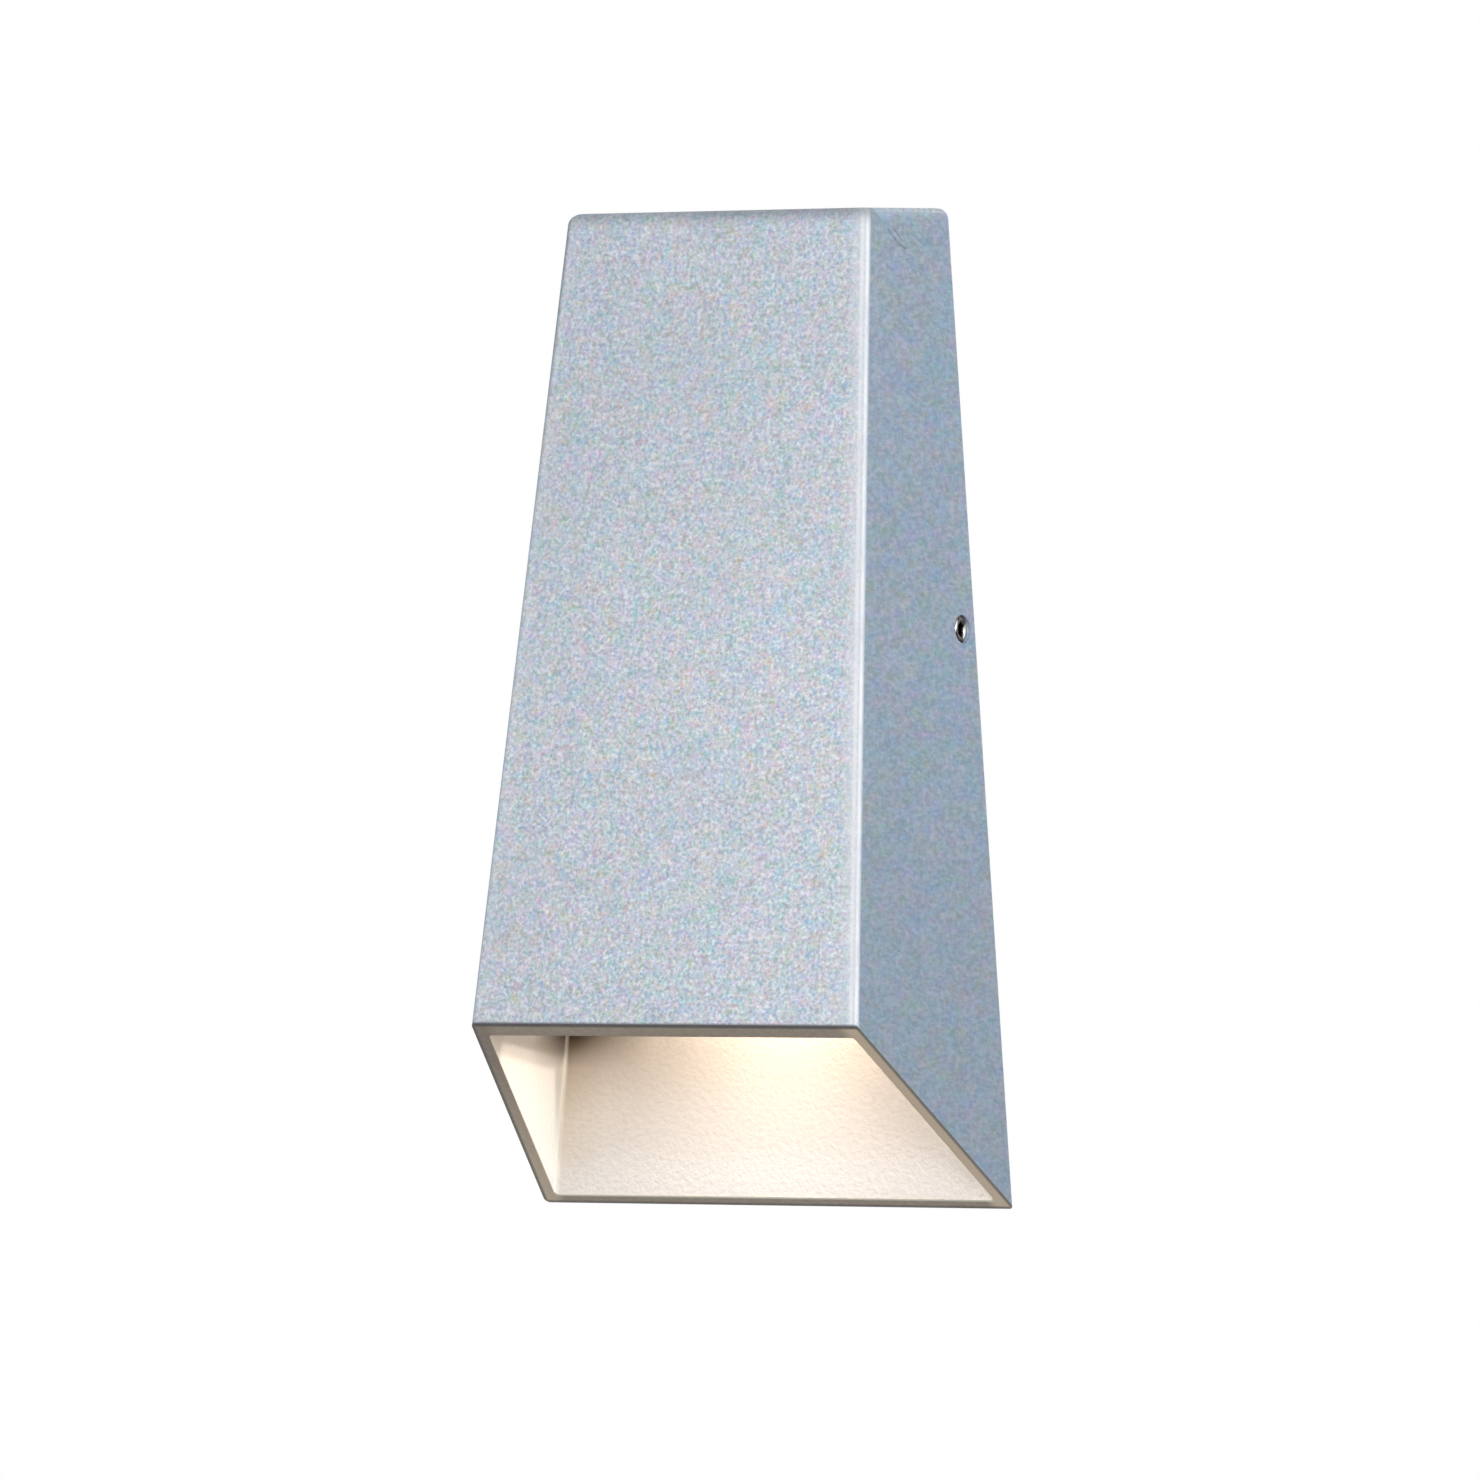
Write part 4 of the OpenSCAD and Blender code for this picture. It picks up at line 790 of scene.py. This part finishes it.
def make_world():
    """White where it is seen, and a plain soft light elsewhere."""
    world = bpy.data.worlds.new("studio")
    bpy.context.scene.world = world
    world.use_nodes = True
    nodes, links = world.node_tree.nodes, world.node_tree.links
    nodes.clear()
    out = nodes.new("ShaderNodeOutputWorld")
    join = nodes.new("ShaderNodeMixShader")
    for index, (colour, strength) in enumerate(((AMBIENT, AMBIENT_STRENGTH), (WHITE, 1.0))):
        light = nodes.new("ShaderNodeBackground")
        light.inputs["Color"].default_value = colour
        light.inputs["Strength"].default_value = strength
        links.new(light.outputs["Background"], join.inputs[index + 1])
    links.new(seen_ray(nodes, links), join.inputs["Fac"])
    links.new(join.outputs["Shader"], out.inputs["Surface"])


def floor_material():
    """Pale where it is seen, darker to the light that it throws back, and clear from below."""
    tree = Tree("floor")
    seen = seen_ray(tree.nodes, tree.links)
    tree.feed("Base Color", tree.mix(seen, FLOOR_BOUNCE, tree.shades(tree.pattern("floor"), "floor")))
    tree.set(Roughness=FLOOR_ROUGHNESS, Emission_Color=WHITE)
    tree.feed("Emission Strength", tree.math("MULTIPLY", seen, FLOOR_GLOW))
    face = tree.nodes.new("ShaderNodeNewGeometry")
    tree.join_shaders(face.outputs["Backfacing"], tree.nodes.new("ShaderNodeBsdfTransparent"))
    return tree.material


def make_floor():
    z = cad_box[0][2] - FLOOR_DROP
    corners = [(-FLOOR_HALF, -FLOOR_HALF, z), (FLOOR_HALF, -FLOOR_HALF, z),
               (FLOOR_HALF, FLOOR_HALF, z), (-FLOOR_HALF, FLOOR_HALF, z)]
    mesh = bpy.data.meshes.new("floor")
    mesh.from_pydata(corners, [], [(0, 1, 2, 3)])
    mesh.materials.append(floor_material())
    floor = bpy.data.objects.new("floor", mesh)
    bpy.context.scene.collection.objects.link(floor)


def make_camera():
    """The camera of the photograph, from its fitted angles, distance and focal length."""
    back = Vector((math.sin(AZIMUTH) * math.cos(ELEVATION), -math.cos(AZIMUTH) * math.cos(ELEVATION),
                   math.sin(ELEVATION)))
    right = Vector((math.cos(AZIMUTH), math.sin(AZIMUTH), 0.0))
    up = back.cross(right)
    rolled_right = math.cos(ROLL) * right + math.sin(ROLL) * up
    rolled_up = -math.sin(ROLL) * right + math.cos(ROLL) * up
    start = Vector((0.0, 0.0, frame_low_z()))
    target = start + (rolled_right * TARGET_RIGHT + rolled_up * TARGET_UP) * MM
    distance = FOCAL_PX / PX_PER_MM * MM
    data = bpy.data.cameras.new("camera")
    data.sensor_width = SENSOR
    data.lens = SENSOR * FOCAL_PX / IMAGE_SIZE
    data.clip_start = NEAR_CLIP
    data.clip_end = FAR_CLIP
    camera = bpy.data.objects.new("camera", data)
    bpy.context.scene.collection.objects.link(camera)
    turn = Matrix((rolled_right, rolled_up, back)).transposed()
    camera.matrix_world = Matrix.Translation(target + back * distance) @ turn.to_4x4()
    bpy.context.scene.camera = camera


def make_piece(name, rings, body, material, closed=False, cap=False):
    """A smooth mesh from rings of points, joined one to the next, that rides on a body."""
    mesh = bmesh.new()
    rows = [[mesh.verts.new(point) for point in ring] for ring in rings]
    pairs = list(zip(rows, rows[1:] + rows[:1])) if closed else list(zip(rows, rows[1:]))
    for first, second in pairs:
        for index in range(len(first)):
            after = (index + 1) % len(first)
            mesh.faces.new((first[index], first[after], second[after], second[index]))
    if cap:
        mesh.faces.new(rows[0])
        mesh.faces.new(rows[-1])
    bmesh.ops.recalc_face_normals(mesh, faces=mesh.faces)
    data = bpy.data.meshes.new(name)
    mesh.to_mesh(data)
    mesh.free()
    for face in data.polygons:
        face.use_smooth = True
    data.materials.append(material)
    piece = bpy.data.objects.new(name, data)
    bpy.context.scene.collection.objects.link(piece)
    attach(piece, body)


def squared(angle):
    """A point of a rounded square with half a side of one."""
    turn = math.cos(angle), math.sin(angle)
    return [math.copysign(abs(value) ** LENS_SQUARENESS, value) for value in turn]


def lens_rings(x, y, face, out):
    """The rings of a lens round a point of a chip's face, rising up or down from it."""
    rings = []
    turns = [squared(math.tau * step / LENS_SIDES) for step in range(LENS_SIDES)]
    for wide, rise in LENS_STEPS:
        reach = LENS_HALF * MM * wide
        z = face + out * rise * LENS_RISE * MM
        rings.append([(x + across * reach, y + along * reach, z) for across, along in turns])
    return rings


def lenses(material):
    """A low lens on each chip, under the lower ones and on the upper ones."""
    half = CHIP * MM / 2
    for unit, out in (("lower", -1), ("upper", 1)):
        low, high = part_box(f"{unit}_led_chips")
        if unit == "lower":
            middles = [((low.x + high.x) / 2, low.y + half), ((low.x + high.x) / 2, high.y - half)]
        else:
            middles = [(low.x + half, (low.y + high.y) / 2), (high.x - half, (low.y + high.y) / 2)]
        face = low.z if out < 0 else high.z
        for index, (x, y) in enumerate(middles):
            rings = lens_rings(x, y, face, out)
            make_piece(f"{unit}_lens_{index}", rings, "housing", material, cap=True)


def lip_rings(end, y, z, out):
    """The rings of a set screw's lip, from its hexagon out to the rounded edge of the screw."""
    rings = []
    for rise, radius, six in LIP_STEPS:
        ring = []
        for step in range(SCREW_SIDES):
            angle = math.tau * step / SCREW_SIDES
            flat = math.cos(math.pi / 6) / math.cos(angle % (math.pi / 3) - math.pi / 6)
            reach = radius * (1 + six * (flat - 1)) * MM
            ring.append((end + out * rise * MM, y + math.sin(angle) * reach, z + math.cos(angle) * reach))
        rings.append(ring)
    return rings


def screw_lips():
    """The rounded lip round the socket of each set screw, with painted glints."""
    for side, out in (("left", -1), ("right", 1)):
        low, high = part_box(f"{side}_set_screw")
        end = high.x if out > 0 else low.x
        y, z = (low.y + high.y) / 2, (low.z + high.z) / 2
        make_piece(f"{side}_screw_lip", lip_rings(end, y, z, out), f"{side}_set_screw",
                   glint_lip(f"glint_lip_{side}", y, z), closed=True)


def glint_lip(name, y, z):
    """Dark steel with painted glints on two sides of its rounded lip."""
    tree = Tree(name)
    parts = tree.parts()
    back, down = (share / MM for share in GLINT_WAY)
    reach = tree.math("ADD", tree.math("MULTIPLY", tree.math("SUBTRACT", parts[1], y), back),
                      tree.math("MULTIPLY", tree.math("SUBTRACT", parts[2], z), down))
    grain = tree.pattern("lip")
    # Painted glints: a large one to the back and down, and a small one to the front and up
    mark = tree.product(tree.band(reach, "painted glint"), tree.band(grain, "painted glint grain"))
    glints = tree.math("MAXIMUM", mark, tree.band(reach, "small painted glint"))
    tree.feed("Base Color", tree.shade(tree.shades(grain, "lip"), glints, "glint steel"))
    tree.roughen(glints, "lip")
    tree.set(Metallic=1.0)
    tree.feed("Normal", tree.bump(grain, "fine"))
    return tree.material


bpy.context.scene.view_settings.view_transform = "Standard"
make_camera()
make_world()
make_floor()
studio_lamps()
unit_lamps()
materials = slot_materials()
dress_nodes(materials)
lenses(materials["phosphor"])
screw_lips()
